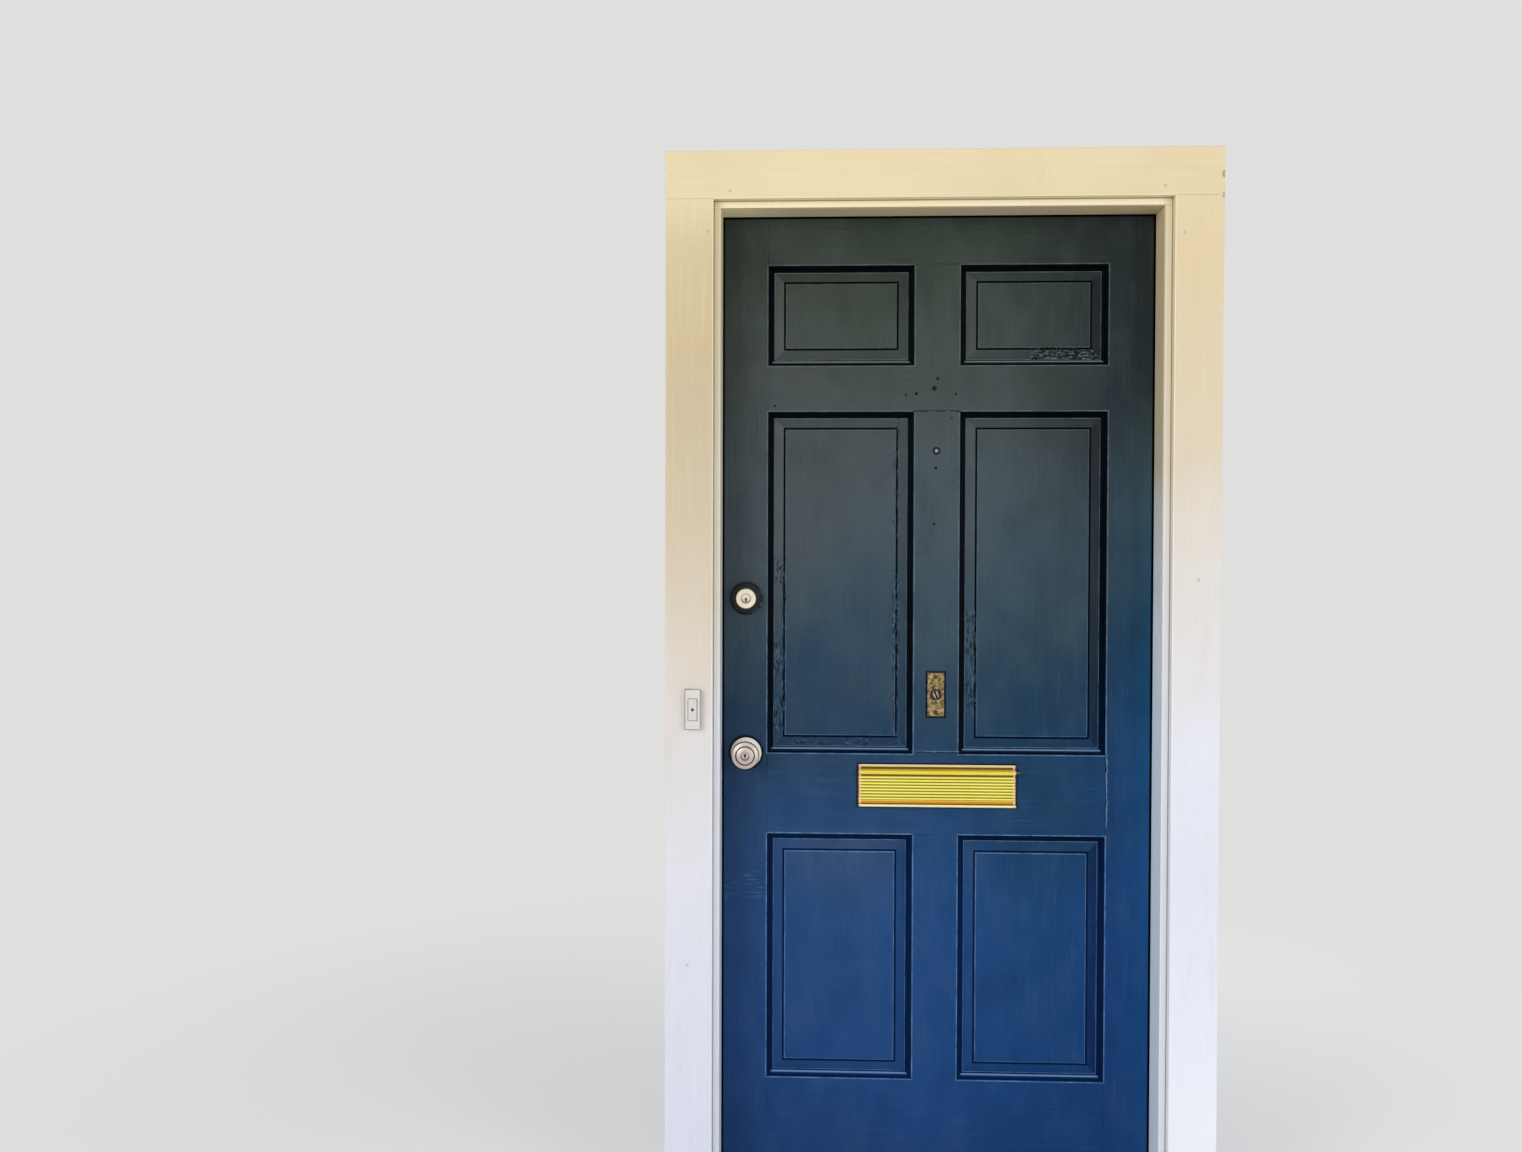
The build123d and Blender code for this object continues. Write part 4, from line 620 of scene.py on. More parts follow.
def frame_paint(name, grain):
    """Old gloss paint, brushed along the board, chipped at its edges, with filled nail holes; with painted
    shade in its corners and the opening, painted light on its jamb edges and reveals, and painted highlights
    on its arrises.
    """
    coat = Finish(name)
    across = coat.size(coat.x)
    rise = coat.work("DIVIDE", coat.z, head_top)
    drift = coat.span(coat.noise(0.30, detail=2.0), 0.3, 0.7, -0.05, 0.05)
    rise = coat.plus(rise, coat.times(coat.x, -0.08), drift)
    strokes = coat.noise(0.006, along(grain, 0.03), detail=4.0)
    coat.tone = coat.ramp(rise, gloss_and_light_by_height)
    bright_edge = coat.ramp(rise, edge_highlight_by_height)
    high = coat.times(coat.span(coat.z, 1.15, 1.65), coat.span(coat.z, 2.08, 1.98))
    coat.lay((0.84, 0.83, 0.81, 1.0), coat.span(coat.x, -0.30, -0.46), high, mode="MULTIPLY")
    # Painted light, low on the right casing.
    low_right = coat.times(coat.span(coat.x, 0.40, 0.46), coat.span(coat.z, 0.70, 0.20))
    coat.lay(colour(250, 251, 255), low_right, 0.75)

    # Painted shade on the faces inside the opening, and painted light on the jambs' front edges and the left
    # reveal.
    inside = coat.times(
        coat.span(across, casing_edge_x + 0.0006, casing_edge_x),
        coat.span(coat.z, casing_joint_z + 0.0006, casing_joint_z),
        coat.span(coat.y, -0.0012, 0.0),
    )
    before_leaf = coat.span(coat.y, 0.074, 0.070)
    front_edge = coat.span(coat.y, 0.012, 0.006)
    lit = coat.most(front_edge, coat.times(coat.span(coat.x, -0.30, -0.40), before_leaf))
    bright = coat.times(lit, inside)
    coat.lay((0.86, 0.86, 0.86, 1.0), inside, coat.inverse(lit), before_leaf, mode="MULTIPLY")
    left_half = coat.span(coat.x, -0.30, -0.46, 0.0, 0.6)
    coat.lay((0.92, 0.91, 0.90, 1.0), left_half, coat.span(rise, 0.05, 0.30, 0.3, 1.0), mode="MULTIPLY")
    coat.lay(bright_edge, bright, 0.85)
    # Painted highlights along the casings' inner arrises.
    lower_arris = coat.times(
        coat.band(coat.z, casing_joint_z, casing_joint_z + 0.0016, 0.0004),
        coat.span(across, casing_edge_x + 0.0005, casing_edge_x - 0.0005),
    )
    upright_arris = coat.times(
        coat.band(across, casing_edge_x, casing_edge_x + 0.0018, 0.0004),
        coat.span(coat.z, casing_joint_z + 0.0005, casing_joint_z - 0.0005),
    )
    arris = coat.times(coat.most(lower_arris, upright_arris), coat.span(coat.y, -0.0150, -0.0175))
    coat.lay(bright_edge, arris, 0.85)
    # Painted bluish light on the reveals, low down.
    deep = coat.times(coat.band(coat.y, 0.002, 0.070, 0.002), coat.span(rise, 0.70, 0.54))
    coat.lay(colour(236, 245, 255), deep, 0.9)
    coat.lay(colour(184, 176, 160), coat.span(strokes, 0.52, 0.80, 0.0, 0.10))
    coat.lay(colour(244, 242, 236), coat.span(strokes, 0.48, 0.25, 0.0, 0.12))
    stains = coat.noise(0.07, (1.0, 1.0, 0.35), move=(2.0, 0.0, 4.0), detail=5.0, rough=0.65)
    coat.lay(colour(200, 186, 160), coat.span(stains, 0.58, 0.80, 0.0, 0.25))
    # Painted shade in the corners, warm above and bluish below, left off where the jambs are painted light.
    crevice_shade = coat.blend(coat.span(rise, 0.70, 0.54), colour(132, 124, 104), colour(150, 160, 192))
    coat.lay(crevice_shade, coat.crevices(0.012, 0.40, 0.90), coat.choose(bright, 0.68, 0.0))
    # Painted shadow round the bell, darker on its left.
    bell_shadow = coat.line_round((bell_x - 0.0005, bell_z - 0.0005), bell_half, 0.0013)
    bell_shadow = coat.times(bell_shadow, coat.span(coat.x, bell_x + 0.010, bell_x - 0.014, 0.35, 0.95))
    coat.lay(colour(60, 54, 42), bell_shadow, coat.front_only())
    # Painted shadow lines on the jambs' front beside the casings' inner edges and under the head casing.
    beside_casing = coat.most(
        coat.band(across, casing_edge_x - 0.0012, casing_edge_x + 0.0002, 0.0006),
        coat.band(coat.z, casing_joint_z - 0.0012, casing_joint_z + 0.0002, 0.0006),
    )
    coat.lay(colour(92, 84, 66), beside_casing, coat.band(coat.y, -0.0030, 0.0010, 0.0010), 0.6)

    chips = coat.times(
        coat.edges(0.0030),
        coat.spots(0.014, 0.58, 0.62),
        coat.spots(0.22, 0.50, 0.56, move=(2, 1, 4), detail=1.0, rough=0.55),
        coat.span(across, 0.5535, 0.5545),
    )
    broken = coat.spots(0.004, 0.42, 0.50, detail=4.0, rough=0.55)
    corners = [coat.times(coat.patch(*corner, 0.0012), broken) for corner in chipped_corners]
    chips = coat.most(chips, *corners)
    coat.lay(colour(126, 96, 70), chips, 0.6)
    dimples = [coat.span(coat.around(x, z), 0.0022, 0.0042) for x, z in nail_places]
    dimples = coat.inverse(coat.least(*dimples))
    coat.lay(colour(160, 146, 120), dimples, 0.40)
    filled_joint = coat.band(coat.z, casing_joint_z, casing_joint_z, 0.0035)
    filled_joint = coat.times(filled_joint, coat.front_only())
    return coat.finished(
        Roughness=coat.span(strokes, 0.3, 0.7, 0.30, 0.45),
        Normal=coat.relief(
            coat.blend(filled_joint, coat.soft_edges(0.0010), coat.true_normal()),
            (coat.noise(0.03, (1.0, 1.0, 0.4), detail=3.0), 0.0010),
            (coat.noise(0.010, (1.0, 1.0, 0.25), move=(5.0, 0.0, 0.0), detail=3.0), 0.0002),
            (strokes, 0.00010),
            (coat.inverse(coat.most(chips, dimples)), 0.0007),
        ),
        Specular_IOR_Level=0.40,
    )


def plain_metal(name, tone, dark, rough, brushed, patina):
    """A metal with fine brushing along one axis, darker with painted shade and grime in its corners, and
    patches of patina.
    """
    metal = Finish(name, tone)
    scratches = metal.noise(0.0012, along(brushed, 0.02), detail=4.0)
    patches = metal.spots(0.010, 0.50, 0.72, rough=0.65)
    grime_and_shade = metal.crevices(0.006, 0.35, 0.85)
    cover = metal.most(metal.times(patches, patina), metal.times(grime_and_shade, 0.8))
    metal.lay(dark, cover)
    return metal.finished(
        Roughness=metal.plus(
            metal.span(scratches, 0.3, 0.7, rough - 0.05, rough + 0.05),
            metal.times(cover, 0.25),
        ),
        Normal=metal.relief(
            metal.soft_edges(0.0004),
            (scratches, 0.00003),
            (metal.noise(0.02, detail=2.0), 0.00025),
        ),
        Metallic=1.0,
    )


def lacquered_brass(name, reeded):
    """Bright yellow brass, orange between the reeds and in the cove, pink along its ends and top fold:
    painted highlights on the reed crowns, lip, fold and ends, painted shade between the reeds, in the cove,
    round the barrel and at the very ends, and tarnish with painted shade in its grooves.
    """
    brass = Finish(name)
    scratches = brass.noise(0.0012, (0.02, 1.0, 1.0), detail=4.0)
    shine = brass.noise(0.030, (0.6, 1.0, 1.6), detail=3.0)
    brass.tone = brass.blend(brass.span(shine, 0.35, 0.65), colour(255, 238, 62), colour(255, 246, 98))
    brass.lay(colour(236, 196, 70), brass.span(scratches, 0.50, 0.80, 0.0, 0.15))
    # Darker orange in its grooves and corners: partly tarnish, partly painted shade.
    groove = brass.crevices(0.0045, 0.30, 0.70)
    brass.lay(colour(150, 88, 14), groove, 0.75)
    if reeded:
        # Painted highlights on the reed crowns and the lip; painted shade between the reeds, in the cove,
        # above the lip, on the barrel's lower half and under the barrel.
        first_groove = first_reed_z + reed_pitch / 2
        turns = brass.times(brass.minus(first_groove, brass.z), 1 / reed_pitch)
        share = brass.work("FRACT", turns, 0.0)
        from_groove = brass.least(share, brass.inverse(share))
        among_reeds = brass.band(brass.z, cove_top_z, first_groove + 0.001, 0.0004)
        between = brass.times(brass.span(from_groove, 0.22, 0.10), among_reeds)
        crown = brass.times(brass.span(from_groove, 0.20, 0.30), among_reeds)
        brass.lay(colour(255, 255, 130), crown, 0.95)
        brass.lay(colour(108, 62, 2), between, 0.95)
        cove = brass.band(brass.z, cove_end_z, cove_top_z - 0.002, 0.0012)
        brass.lay(colour(216, 132, 16), cove, 0.92)
        above_lip = brass.band(brass.z, cove_end_z + 0.0006, cove_end_z + 0.0020, 0.0005)
        brass.lay(colour(92, 50, 8), above_lip, 0.85)
        barrel = brass.span(brass.z, flap_axis_z + 0.0045, flap_axis_z - 0.0030)
        above_reeds = brass.span(brass.z, flap_axis_z - 0.0052, flap_axis_z - 0.0048)
        brass.lay(colour(222, 152, 34), brass.inverse(barrel), above_reeds, 0.65)
        under_barrel = brass.band(brass.z, flap_axis_z - 0.0078, flap_axis_z - 0.0052, 0.0006)
        brass.lay(colour(84, 50, 8), under_barrel, 0.92)
        lip = brass.span(brass.z, cove_end_z + 0.0004, cove_end_z - 0.0004)
        brass.lay(colour(255, 252, 196), lip, 0.9)
    # A painted highlight on the top fold with painted shadow under it; along the ends a painted highlight,
    # and painted shade at the very ends.
    fold = brass.span(brass.z, mail_top - 0.0045, mail_top - 0.0030)
    brass.lay(colour(250, 218, 190), fold, 0.85)
    above_barrel = brass.band(brass.z, mail_top - 0.0096, mail_top - 0.0050, 0.0008)
    brass.lay(colour(62, 34, 10), above_barrel, 0.92)
    ends = brass.size(brass.minus(brass.x, mail_middle_x))
    ends = brass.plus(ends, brass.span(brass.noise(0.005, detail=4.0), 0.3, 0.7, -0.0008, 0.0008))
    pale_end = brass.band(ends, mail_half - 0.0060, mail_half - 0.0034, 0.0008)
    brass.lay(colour(250, 208, 188), pale_end, 0.80)
    dark_end = brass.span(ends, mail_half - 0.0030, mail_half - 0.0018)
    brass.lay(colour(96, 30, 44), dark_end, 0.85)
    smears = brass.spots(0.012, 0.60, 0.72)
    brass.lay(colour(222, 170, 60), smears, 0.22)
    return brass.finished(
        Roughness=brass.plus(brass.span(scratches, 0.3, 0.7, 0.26, 0.36), brass.times(groove, 0.25)),
        Normal=brass.relief(
            brass.soft_edges(0.0004),
            (scratches, 0.00003),
            (brass.noise(0.025, detail=2.0), 0.0003),
        ),
        Metallic=0.35,
    )


def weathered_brass(name):
    """Khaki old brass, brown and purple round the boss, dark and ragged along its painted rim, darker with
    painted shade and grime in its corners.
    """
    brass = Finish(name)
    patches = brass.noise(0.008, detail=6.0, rough=0.7)
    brass.tone = brass.blend(brass.span(patches, 0.35, 0.60), colour(200, 174, 116), colour(72, 50, 32))
    flecks = brass.spots(0.0025, 0.58, 0.70)
    brass.lay(colour(226, 208, 156), flecks, 0.8)
    ragged = brass.frayed(0.004, 0.0022)
    from_boss = brass.plus(brass.around(0.0, turn_plate_z), ragged)
    brass.lay(colour(74, 50, 56), brass.span(from_boss, 0.0135, 0.0110, 0.0, 0.88))
    ring = brass.band(from_boss, 0.0086, 0.0106, 0.0008)
    brass.lay(colour(24, 12, 18), ring, 0.9)
    from_slot = brass.plus(
        brass.times(brass.x, math.cos(turn_slot_normal)),
        brass.times(brass.minus(brass.z, turn_plate_z), math.sin(turn_slot_normal)),
    )
    on_boss = brass.span(from_boss, 0.0084, 0.0074)
    beside_slot = brass.band(brass.size(brass.plus(from_slot, ragged)), 0.0022, 0.0046, 0.0006)
    brass.lay(colour(214, 198, 190), beside_slot, on_boss, 0.60)
    in_slot = brass.span(brass.size(from_slot), 0.0020, 0.0014)
    brass.lay(colour(16, 8, 12), in_slot, on_boss, 0.9)
    across = brass.minus(turn_plate_half[0], brass.size(brass.x))
    rise = brass.size(brass.minus(brass.z, turn_plate_z))
    rim = brass.plus(brass.least(across, brass.minus(turn_plate_half[1], rise)), ragged)
    brass.lay(colour(16, 14, 22), brass.span(rim, 0.0014, 0.0000, 0.0, 0.98))
    for way in (-1, 1):
        from_screw = brass.plus(brass.around(0.0, turn_plate_z + way * turn_screw_rise), ragged)
        brass.lay(colour(24, 14, 14), brass.span(from_screw, 0.0052, 0.0036, 0.0, 0.9))
    grime_and_shade = brass.crevices(0.004, 0.35, 0.80)
    brass.lay(colour(38, 28, 26), grime_and_shade, 0.85)
    return brass.finished(
        Roughness=brass.span(patches, 0.3, 0.7, 0.42, 0.60),
        Normal=brass.relief(brass.soft_edges(0.0005), (patches, 0.0004), (flecks, 0.00015)),
        Metallic=0.45,
    )


rings_per_metre = 2200.0


def turned_metal(name, tone, dark, centre, lines, key_rise, plating):
    """Satin metal turned about a Y axis: tool rings, dark rings of painted shade at the radii of its edges
    and grooves, and a keyway dark with painted shade.
    """
    metal = Finish(name, tone)
    radius = metal.around(*centre)
    rings = metal.node("ShaderNodeTexNoise", noise_dimensions="1D")
    metal.put(rings, W=metal.times(radius, rings_per_metre), Detail=2.0)
    grime_and_shade = metal.crevices(0.006, 0.30, 0.80)
    marks = metal.spots(0.006, 0.55, 0.75)
    rings_and_shade = metal.most(*[metal.band(radius, at - width / 2, at + width / 2, 0.0007) for at, width in lines])
    rise = metal.minus(metal.z, centre[1])
    if key_rise is not None:
        # Painted shade in the keyway, and low in the recess round the plug, on the porch side only.
        sideways = metal.size(metal.minus(metal.x, centre[0]))
        from_key = metal.minus(rise, key_rise)
        slot = metal.times(metal.span(sideways, 0.0020, 0.0012), metal.band(from_key, -0.0048, 0.0, 0.0006))
        eye = metal.span(metal.around(centre[0], centre[1] + key_rise), 0.0032, 0.0022)
        recess = metal.band(radius, 0.0070, 0.0096, 0.0012)
        shaded = metal.times(recess, metal.span(rise, 0.003, -0.005, 0.0, 0.62))
        porch_side = metal.span(metal.y, leaf_front + 0.012, leaf_front + 0.008)
        rings_and_shade = metal.most(rings_and_shade, metal.times(metal.most(slot, eye, shaded), porch_side))
    cover = metal.most(metal.times(grime_and_shade, 0.94), metal.times(marks, 0.18), metal.times(rings_and_shade, 0.95))
    warm = metal.spots(0.020, 0.35, 0.65, detail=2.0, rough=0.55)
    metal.lay(tuple(0.9 * part for part in tone[:3]) + (1.0,), warm)
    metal.lay(dark, cover)
    return metal.finished(
        Roughness=metal.span(rings.outputs["Fac"], 0.3, 0.7, 0.38, 0.48),
        Normal=metal.relief(
            metal.soft_edges(0.0005),
            (rings.outputs["Fac"], 0.00002),
            (metal.noise(0.004, detail=3.0), 0.00006),
        ),
        Metallic=plating,
    )


def plastic(name, tone, dark, rough):
    """Moulded plastic, yellowed and dusty in its corners."""
    cover = Finish(name, tone)
    grime_and_shade = cover.crevices(0.006, 0.35, 0.90)
    stains = cover.spots(0.012, 0.50, 0.80, detail=4.0, rough=0.55)
    cover.lay(dark, cover.most(cover.times(grime_and_shade, 0.8), cover.times(stains, 0.2)))
    return cover.finished(
        Normal=cover.relief(cover.soft_edges(0.0006), (cover.noise(0.0008, detail=2.0), 0.00002)),
        Roughness=rough,
    )


def bell_plastic(name):
    """The bell's body: milky plastic, darker with painted shade and grime in its corners, with a dark line of
    painted shadow round the opening for its button.
    """
    cover = Finish(name)
    stains = cover.span(cover.noise(0.012, detail=4.0), 0.50, 0.80, 0.0, 0.25)
    cover.tone = cover.blend(stains, colour(218, 214, 206), colour(186, 176, 158))
    grime_and_shade = cover.crevices(0.006, 0.35, 0.90)
    cover.lay(colour(104, 98, 90), grime_and_shade, 0.45)
    opening = cover.line_round((bell_x, bell_z), push_half, 0.0008)
    opening = cover.times(opening, cover.span(cover.y, -0.0275, -0.0285))
    cover.lay(colour(92, 86, 80), opening, 0.75)
    return cover.finished(Normal=cover.soft_edges(0.0008), Roughness=0.35)


def lens_plastic(name):
    """The bell's button: milky plastic with a small dark lens in its middle."""
    cover = Finish(name)
    from_lens = cover.around(bell_x, bell_z)
    cover.tone = cover.blend(cover.span(from_lens, 0.0036, 0.0028), colour(214, 211, 206), colour(28, 24, 20))
    grime_and_shade = cover.crevices(0.005, 0.30, 0.85)
    cover.lay(colour(120, 116, 112), grime_and_shade, 0.75)
    stains = cover.span(cover.noise(0.010, detail=4.0), 0.50, 0.80, 0.0, 0.25)
    cover.lay(colour(200, 190, 172), stains)
    return cover.finished(Normal=cover.soft_edges(0.0006), Roughness=0.28)


def crusted_paint(name, centre):
    """Reddish-black collar under rough coats of old paint."""
    crust = Finish(name)
    lumps = crust.noise(0.005, detail=5.0, rough=0.7)
    crust.tone = crust.blend(crust.span(lumps, 0.40, 0.62), colour(8, 6, 7), colour(34, 24, 22))
    flecks = crust.spots(0.0030, 0.56, 0.63, move=(1.0, 2.0, 3.0), rough=0.75)
    outer = crust.span(crust.around(*centre), 0.0255, 0.0290)
    crust.lay(colour(44, 50, 58), outer, 0.8)
    crust.lay(colour(116, 132, 144), flecks, outer, 0.90)
    return crust.finished(
        Roughness=crust.span(lumps, 0.3, 0.7, 0.40, 0.62),
        Normal=crust.relief(crust.soft_edges(0.0008), (lumps, 0.0012), (flecks, 0.0003)),
        Specular_IOR_Level=0.35,
    )


def screw_metal(name):
    """Plated screws: yellow at the mail and bell plates, grey at the hinges and lock plates."""
    metal = Finish(name)
    near_middle = metal.span(metal.size(metal.x), 0.26, 0.25)
    metal.tone = metal.blend(near_middle, colour(170, 166, 158), colour(214, 170, 70))
    low = metal.band(metal.z, turn_plate_z - 0.05, turn_plate_z + 0.05, 0.002)
    metal.lay(colour(104, 88, 52), low, near_middle)
    wear = metal.span(metal.noise(0.003, detail=5.0, rough=0.7), 0.45, 0.70, 0.0, 0.6)
    grime_and_shade = metal.crevices(0.003, 0.30, 0.80)
    metal.lay(colour(74, 60, 44), metal.most(wear, metal.times(grime_and_shade, 0.85)))
    return metal.finished(Normal=metal.soft_edges(0.0003), Roughness=0.42, Metallic=0.9)


def dress(material, *names):
    """Gives CAD nodes a material."""
    for name in names:
        slots = nodes[name].material_slots
        if not slots:
            nodes[name].data.materials.append(material)
        for slot in slots:
            slot.material = material


upright_paint = framing_paint("door_paint_upright", "Z")
level_paint = framing_paint("door_paint_level", "X")
raised_paint = panel_paint("door_paint_panel")
dress(upright_paint, "stile_lock", "stile_hinge", "mullion_top", "mullion_middle", "mullion_bottom")
dress(level_paint, "rail_top", "rail_frieze", "rail_lock", "rail_bottom")
for row in ("top", "middle", "bottom"):
    dress(raised_paint, f"panel_{row}_left", f"panel_{row}_right")

upright_gloss = frame_paint("frame_paint_upright", "Z")
level_gloss = frame_paint("frame_paint_level", "X")
dress(upright_gloss, "jamb_lock", "jamb_hinge", "door_stops", "casing_left", "casing_right")
dress(level_gloss, "jamb_head", "casing_head", "sill")

brass = lacquered_brass("lacquered_brass", False)
reeded_brass = lacquered_brass("reeded_brass", True)
old_brass = weathered_brass("weathered_brass")
dress(brass, "mail_plate_outer", "mail_plate_inner", "mail_flap_inner", "mail_flap_pins")
dress(reeded_brass, "mail_flap_outer")
dress(old_brass, "turn_bell_plate")

nickel_dark = colour(30, 20, 18)
knob_place = (lock_x, knob_z)
bolt_place = (lock_x, bolt_z)
# Dark rings of painted shade on the knob, rose and bolt: a radius and a width each, in metres.
knob_rings = ((0.0190, 0.0018), (0.0290, 0.0018))
rose_rings = ((0.0326, 0.0006),)
bolt_rings = ((0.0102, 0.0004), (0.0208, 0.0006))
knob_tone = colour(208, 194, 184)
rose_tone = colour(255, 252, 238)
bolt_tone = colour(248, 236, 214)
knob_nickel = turned_metal("satin_nickel_knob", knob_tone, nickel_dark, knob_place, knob_rings, 0.0018, 0.55)
rose_nickel = turned_metal("satin_nickel_rose", rose_tone, nickel_dark, knob_place, rose_rings, None, 0.0)
bolt_nickel = turned_metal("satin_nickel_bolt", bolt_tone, nickel_dark, bolt_place, bolt_rings, -0.0022, 0.45)
dress(knob_nickel, "knob_outer", "knob_inner", "knob_key_plug", "knob_turn_button")
dress(rose_nickel, "knob_rose_outer", "knob_rose_inner")
dress(bolt_nickel, "bolt_cylinder", "bolt_rose_inner", "bolt_key_plug", "thumbturn", "bolt_screws")
dress(crusted_paint("crusted_collar", bolt_place), "bolt_collar")

zinc = plain_metal("dull_zinc", colour(176, 172, 164), colour(84, 76, 66), 0.42, "Z", 0.4)
for row in ("top", "middle", "bottom"):
    dress(zinc, f"hinge_frame_leaf_{row}", f"hinge_door_leaf_{row}")
dress(zinc, "hinge_pins", "frame_screws", "strike_latch", "strike_bolt")
dress(zinc, "latch_case", "bolt_case", "latch_bolt", "dead_bolt")
dress(screw_metal("plated_screws"), "leaf_screws")
mill_metal = plain_metal("mill_aluminium", colour(188, 186, 180), colour(96, 88, 78), 0.38, "X", 0.5)
dress(mill_metal, "threshold")
seal = plastic("black_seal", colour(26, 26, 26), colour(60, 56, 50), 0.75)
dress(seal, "weatherstrip")
dress(bell_plastic("bell_plastic"), "bell_body")
dress(lens_plastic("button_plastic"), "bell_button")


# Small work in paint and filler, modelled on the leaf

def settle(piece, name, material, body):
    """Names a finished piece, gives it its finish, and lets it ride on its body."""
    piece.name = name
    piece.data.name = name
    piece.data.materials.clear()
    piece.data.materials.append(material)
    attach(piece, body)


def edit_faces(piece, wanted):
    """Opens a mesh for editing with only the faces selected that a test picks."""
    bpy.ops.object.mode_set(mode="EDIT")
    bpy.ops.mesh.select_mode(type="FACE")
    bpy.ops.mesh.select_all(action="DESELECT")
    bpy.ops.object.mode_set(mode="OBJECT")
    for face in piece.data.polygons:
        face.select = wanted(face)
    bpy.ops.object.mode_set(mode="EDIT")


def apply_modifier(piece, kind, **settings):
    modifier = piece.modifiers.new(kind.lower(), kind)
    for name, value in settings.items():
        setattr(modifier, name, value)
    bpy.ops.object.modifier_apply(modifier=modifier.name)


def model_filled_hole():
    """A screw hole that was stopped with filler and painted over: a low ring round a dished face."""
    bpy.ops.object.select_all(action="DESELECT")
    bpy.ops.mesh.primitive_cylinder_add(
        vertices=40,
        radius=0.0068,
        depth=0.0014,
        location=(0.0, leaf_front, 0.0),
        rotation=(math.pi / 2, 0.0, 0.0),
    )
    hole = bpy.context.object
    bpy.ops.object.transform_apply(location=True, rotation=True, scale=True)
    edit_faces(hole, lambda face: face.normal.y < -0.9)
    for inset, sink in ((0.0014, -0.0002), (0.0014, 0.0007), (0.0016, -0.0004)):
        bpy.ops.mesh.inset(thickness=inset)
        bpy.ops.transform.translate(value=(0.0, sink, 0.0))
    bpy.ops.object.mode_set(mode="OBJECT")
    apply_modifier(hole, "BEVEL", width=0.0001, segments=2)
    apply_modifier(hole, "SUBSURF", levels=1, render_levels=1)
    bpy.ops.object.shade_smooth_by_angle(angle=math.radians(50))
    return hole


def place_copy(piece, x, z, size):
    """A copy of a piece with its own mesh, at a place on the leaf's front and of another size."""
    copy = piece.copy()
    copy.data = piece.data.copy()
    bpy.context.scene.collection.objects.link(copy)
    seat = Matrix.Translation((0.0, leaf_front, 0.0))
    sized = Matrix.Diagonal((size, 1.0, size, 1.0))
    copy.data.transform(Matrix.Translation((x, 0.0, z)) @ seat @ sized @ seat.inverted())
    return copy


def filler_paint(name, bare_middle=None):
    """Paint over filler, black in its dish, a little paler on its rim, and bare in the middle of one hole."""
    coat = Finish(name)
    depth = coat.minus(coat.y, leaf_front)
    coat.tone = coat.blend(coat.span(depth, -0.0009, -0.0008), colour(70, 80, 82), colour(0, 1, 2))
    coat.lay(colour(12, 16, 18), coat.span(coat.noise(0.0015, detail=4.0), 0.50, 0.70, 0.0, 0.5))
    if bare_middle is not None:
        bare = coat.span(coat.around(*bare_middle), 0.0040, 0.0030)
        coat.lay(colour(150, 160, 160), bare, 0.85)
    grain = coat.bump(coat.noise(0.0012, detail=3.0), 0.00012)
    return coat.finished(Normal=grain, Roughness=0.45, Specular_IOR_Level=0.14)


filled_holes = (
    ("frieze_left", -0.0650, 1.6930, 0.28),
    ("frieze_middle", -0.0060, 1.7060, 0.70),
    ("frieze_low", -0.0434, 1.6950, 0.44),
    ("frieze_right", 0.0384, 1.6947, 0.32),
    ("frieze_high", 0.0006, 1.7263, 0.38),
    ("mullion_high", 0.0305, 1.6445, 0.24),
    ("mullion_ring", -0.0010, 1.5763, 1.15),
    ("mullion_low", -0.0023, 1.5407, 0.40),
    ("mullion_lowest", -0.0050, 1.4230, 0.32),
    ("frieze_end", -0.3380, 1.6700, 0.32),
)


def build_filled_holes():
    dark_paint = filler_paint("filler_paint")
    pattern = model_filled_hole()
    for name, x, z, size in filled_holes:
        coat = filler_paint("filler_paint_bare", (x, z)) if size > 1 else dark_paint
        settle(place_copy(pattern, x, z, size), "filled_hole_" + name, coat, "leaf")
    bpy.data.objects.remove(pattern)


def model_paint_ridge(name, x, z, radius, thickness, sag):
    """The ragged ridge that coats of paint have left round a rose, hanging a little at its foot."""
    bpy.ops.object.select_all(action="DESELECT")
    bpy.ops.mesh.primitive_torus_add(
        location=(x, leaf_front, z),
        rotation=(math.pi / 2, 0.0, 0.0),
        major_radius=radius,
        minor_radius=thickness,
        major_segments=180,
        minor_segments=12,
    )
    ridge = bpy.context.object
    bpy.ops.object.transform_apply(location=True, rotation=True, scale=True)
    edit_faces(ridge, lambda face: face.center.z < z - 0.86 * radius)
    bpy.ops.transform.translate(value=(0.0, 0.0, -sag))
    bpy.ops.mesh.select_more()
    bpy.ops.mesh.select_more()
    bpy.ops.mesh.vertices_smooth(factor=0.5, repeat=6)
    bpy.ops.object.mode_set(mode="OBJECT")
    lumps = bpy.data.textures.new(name + "_lumps", type="CLOUDS")
    lumps.noise_scale = 0.004
    heights = dict(texture=lumps, strength=thickness * 1.5, mid_level=0.5, texture_coords="GLOBAL")
    apply_modifier(ridge, "DISPLACE", **heights)
    bpy.ops.object.shade_smooth()
    return ridge


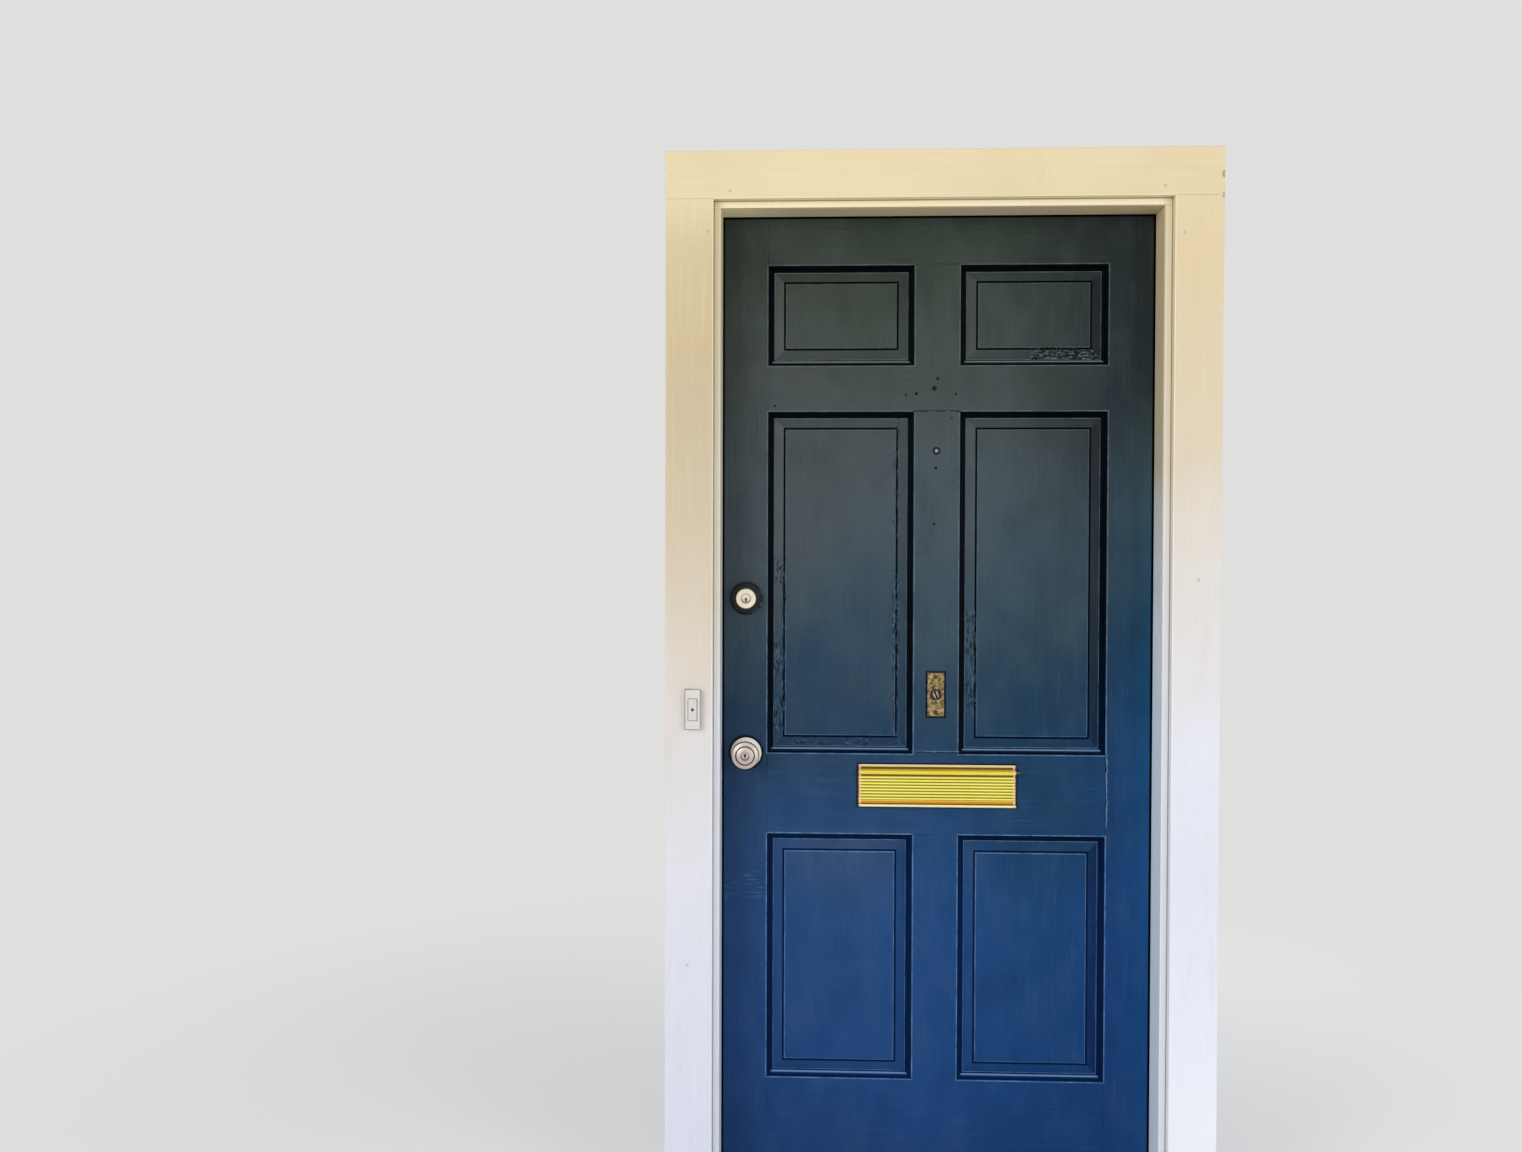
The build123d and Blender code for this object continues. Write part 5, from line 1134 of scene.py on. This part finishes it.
def ridge_paint(name, centre):
    """Thick old paint, black in its folds, with pale flecks low on the right."""
    coat = Finish(name)
    lumps = coat.noise(0.004, detail=5.0, rough=0.7)
    coat.tone = coat.blend(coat.span(lumps, 0.42, 0.62), colour(3, 4, 6), colour(24, 30, 40))
    flecks = coat.spots(0.0026, 0.56, 0.64, move=(3.0, 1.0, 2.0), detail=4.0, rough=0.55)
    right = coat.span(coat.x, centre[0] - 0.010, centre[0] + 0.024)
    low = coat.span(coat.z, centre[1] + 0.024, centre[1] - 0.006)
    coat.lay(colour(176, 190, 200), flecks, coat.times(right, low), 0.95)
    return coat.finished(Normal=coat.bump(lumps, 0.0003), Roughness=0.42, Specular_IOR_Level=0.25)


# Ridges round the bolt and the knob rose: lock, height, radius, thickness and sag. The black foot of the
# bolt's ridge, sagging below its collar, is partly painted shadow.
paint_ridges = (
    ("bolt", bolt_z, 0.0325, 0.0014, 0.0022),
    ("rose", knob_z, 0.0330, 0.0008, 0.0008),
)


def build_paint_ridges():
    for lock, z, *sizes in paint_ridges:
        ridge = model_paint_ridge(lock + "_paint_ridge", lock_x, z, *sizes)
        coat = ridge_paint(lock + "_ridge_paint", (lock_x, z))
        settle(ridge, lock + "_paint_ridge", coat, "leaf")


build_filled_holes()
build_paint_ridges()


# Stage: a pale floor that fades into the backdrop, and soft light from both sides of the porch

backdrop = (0.74, 0.74, 0.73, 1.0)
ambient_light = (0.42, 0.43, 0.45, 1.0)


def build_floor():
    bpy.ops.object.select_all(action="DESELECT")
    bpy.ops.mesh.primitive_circle_add(vertices=96, radius=14.0, fill_type="NGON", location=(0, 0, 0))
    floor = bpy.context.object
    floor.name = "studio_floor"
    surface = Finish("studio_floor", (0.86, 0.86, 0.85, 1.0))
    floor.data.materials.append(surface.finished(Roughness=0.9, Specular_IOR_Level=0.1))
    length = surface.node("ShaderNodeVectorMath", operation="LENGTH")
    surface.feed(length.inputs[0], surface.place)
    fade = surface.node("ShaderNodeMapRange", interpolation_type="SMOOTHSTEP")
    surface.put(fade, Value=length.outputs["Value"], From_Min=0.7, From_Max=2.8)
    glow = surface.node("ShaderNodeEmission")
    surface.put(glow, Color=backdrop)
    mix = surface.node("ShaderNodeMixShader")
    layers = (fade.outputs["Result"], surface.shader.outputs["BSDF"], glow.outputs["Emission"])
    for socket, layer in zip(mix.inputs, layers):
        surface.feed(socket, layer)
    surface.put(surface.output, Surface=mix.outputs["Shader"])


def build_backdrop():
    world = bpy.data.worlds.new("studio")
    bpy.context.scene.world = world
    world.use_nodes = True
    tree = world.node_tree
    tree.nodes.clear()
    output = tree.nodes.new("ShaderNodeOutputWorld")
    mix = tree.nodes.new("ShaderNodeMixShader")
    for socket, tone in ((1, ambient_light), (2, backdrop)):
        sky = tree.nodes.new("ShaderNodeBackground")
        sky.inputs["Color"].default_value = tone
        tree.links.new(sky.outputs["Background"], mix.inputs[socket])
    path = tree.nodes.new("ShaderNodeLightPath")
    seen = path.outputs["Is Camera Ray"]
    for kind in ("Is Glossy Ray", "Is Transmission Ray"):
        either = tree.nodes.new("ShaderNodeMath")
        either.operation = "MAXIMUM"
        tree.links.new(seen, either.inputs[0])
        tree.links.new(path.outputs[kind], either.inputs[1])
        seen = either.outputs[0]
    tree.links.new(seen, mix.inputs["Fac"])
    tree.links.new(mix.outputs["Shader"], output.inputs["Surface"])


def soft_lamp(name, place, target, size, power, tone):
    """A square softbox aimed at a point."""
    lamp = bpy.data.lights.new(name, "AREA")
    lamp.shape = "RECTANGLE"
    lamp.size, lamp.size_y = size
    lamp.energy = power
    lamp.color = tone
    holder = bpy.data.objects.new(name, lamp)
    bpy.context.scene.collection.objects.link(holder)
    holder.location = place
    holder.rotation_euler = (Vector(target) - Vector(place)).to_track_quat("-Z", "Y").to_euler()


build_floor()
build_backdrop()
soft_lamp("left_softbox", (-3.0, -3.0, 2.3), (0.0, 0.0, 1.1), (2.2, 2.2), 82.0, (1.0, 0.99, 0.97))
soft_lamp("right_softbox", (3.2, -3.1, 1.8), (0.0, 0.0, 1.1), (2.0, 2.4), 66.0, (0.97, 0.98, 1.0))
soft_lamp("house_softbox", (1.4, 3.2, 2.4), (0.0, 0.1, 1.0), (2.2, 1.8), 60.0, (1.0, 1.0, 1.0))


def build_camera():
    camera = bpy.data.cameras.new("photo_camera")
    camera.sensor_fit = "HORIZONTAL"
    camera.sensor_width = 36.0
    camera.lens = 36.0 * focal_pixels / photo_width
    holder = bpy.data.objects.new("photo_camera", camera)
    bpy.context.scene.collection.objects.link(holder)
    turn = Matrix.Rotation(turned_left, 4, "Z")
    tip = Matrix.Rotation(math.pi / 2 - tipped_down, 4, "X")
    roll = Matrix.Rotation(rolled, 4, "Z")
    holder.matrix_world = Matrix.Translation(camera_place) @ turn @ tip @ roll
    bpy.context.scene.camera = holder


build_camera()
bpy.context.scene.view_settings.view_transform = "Standard"
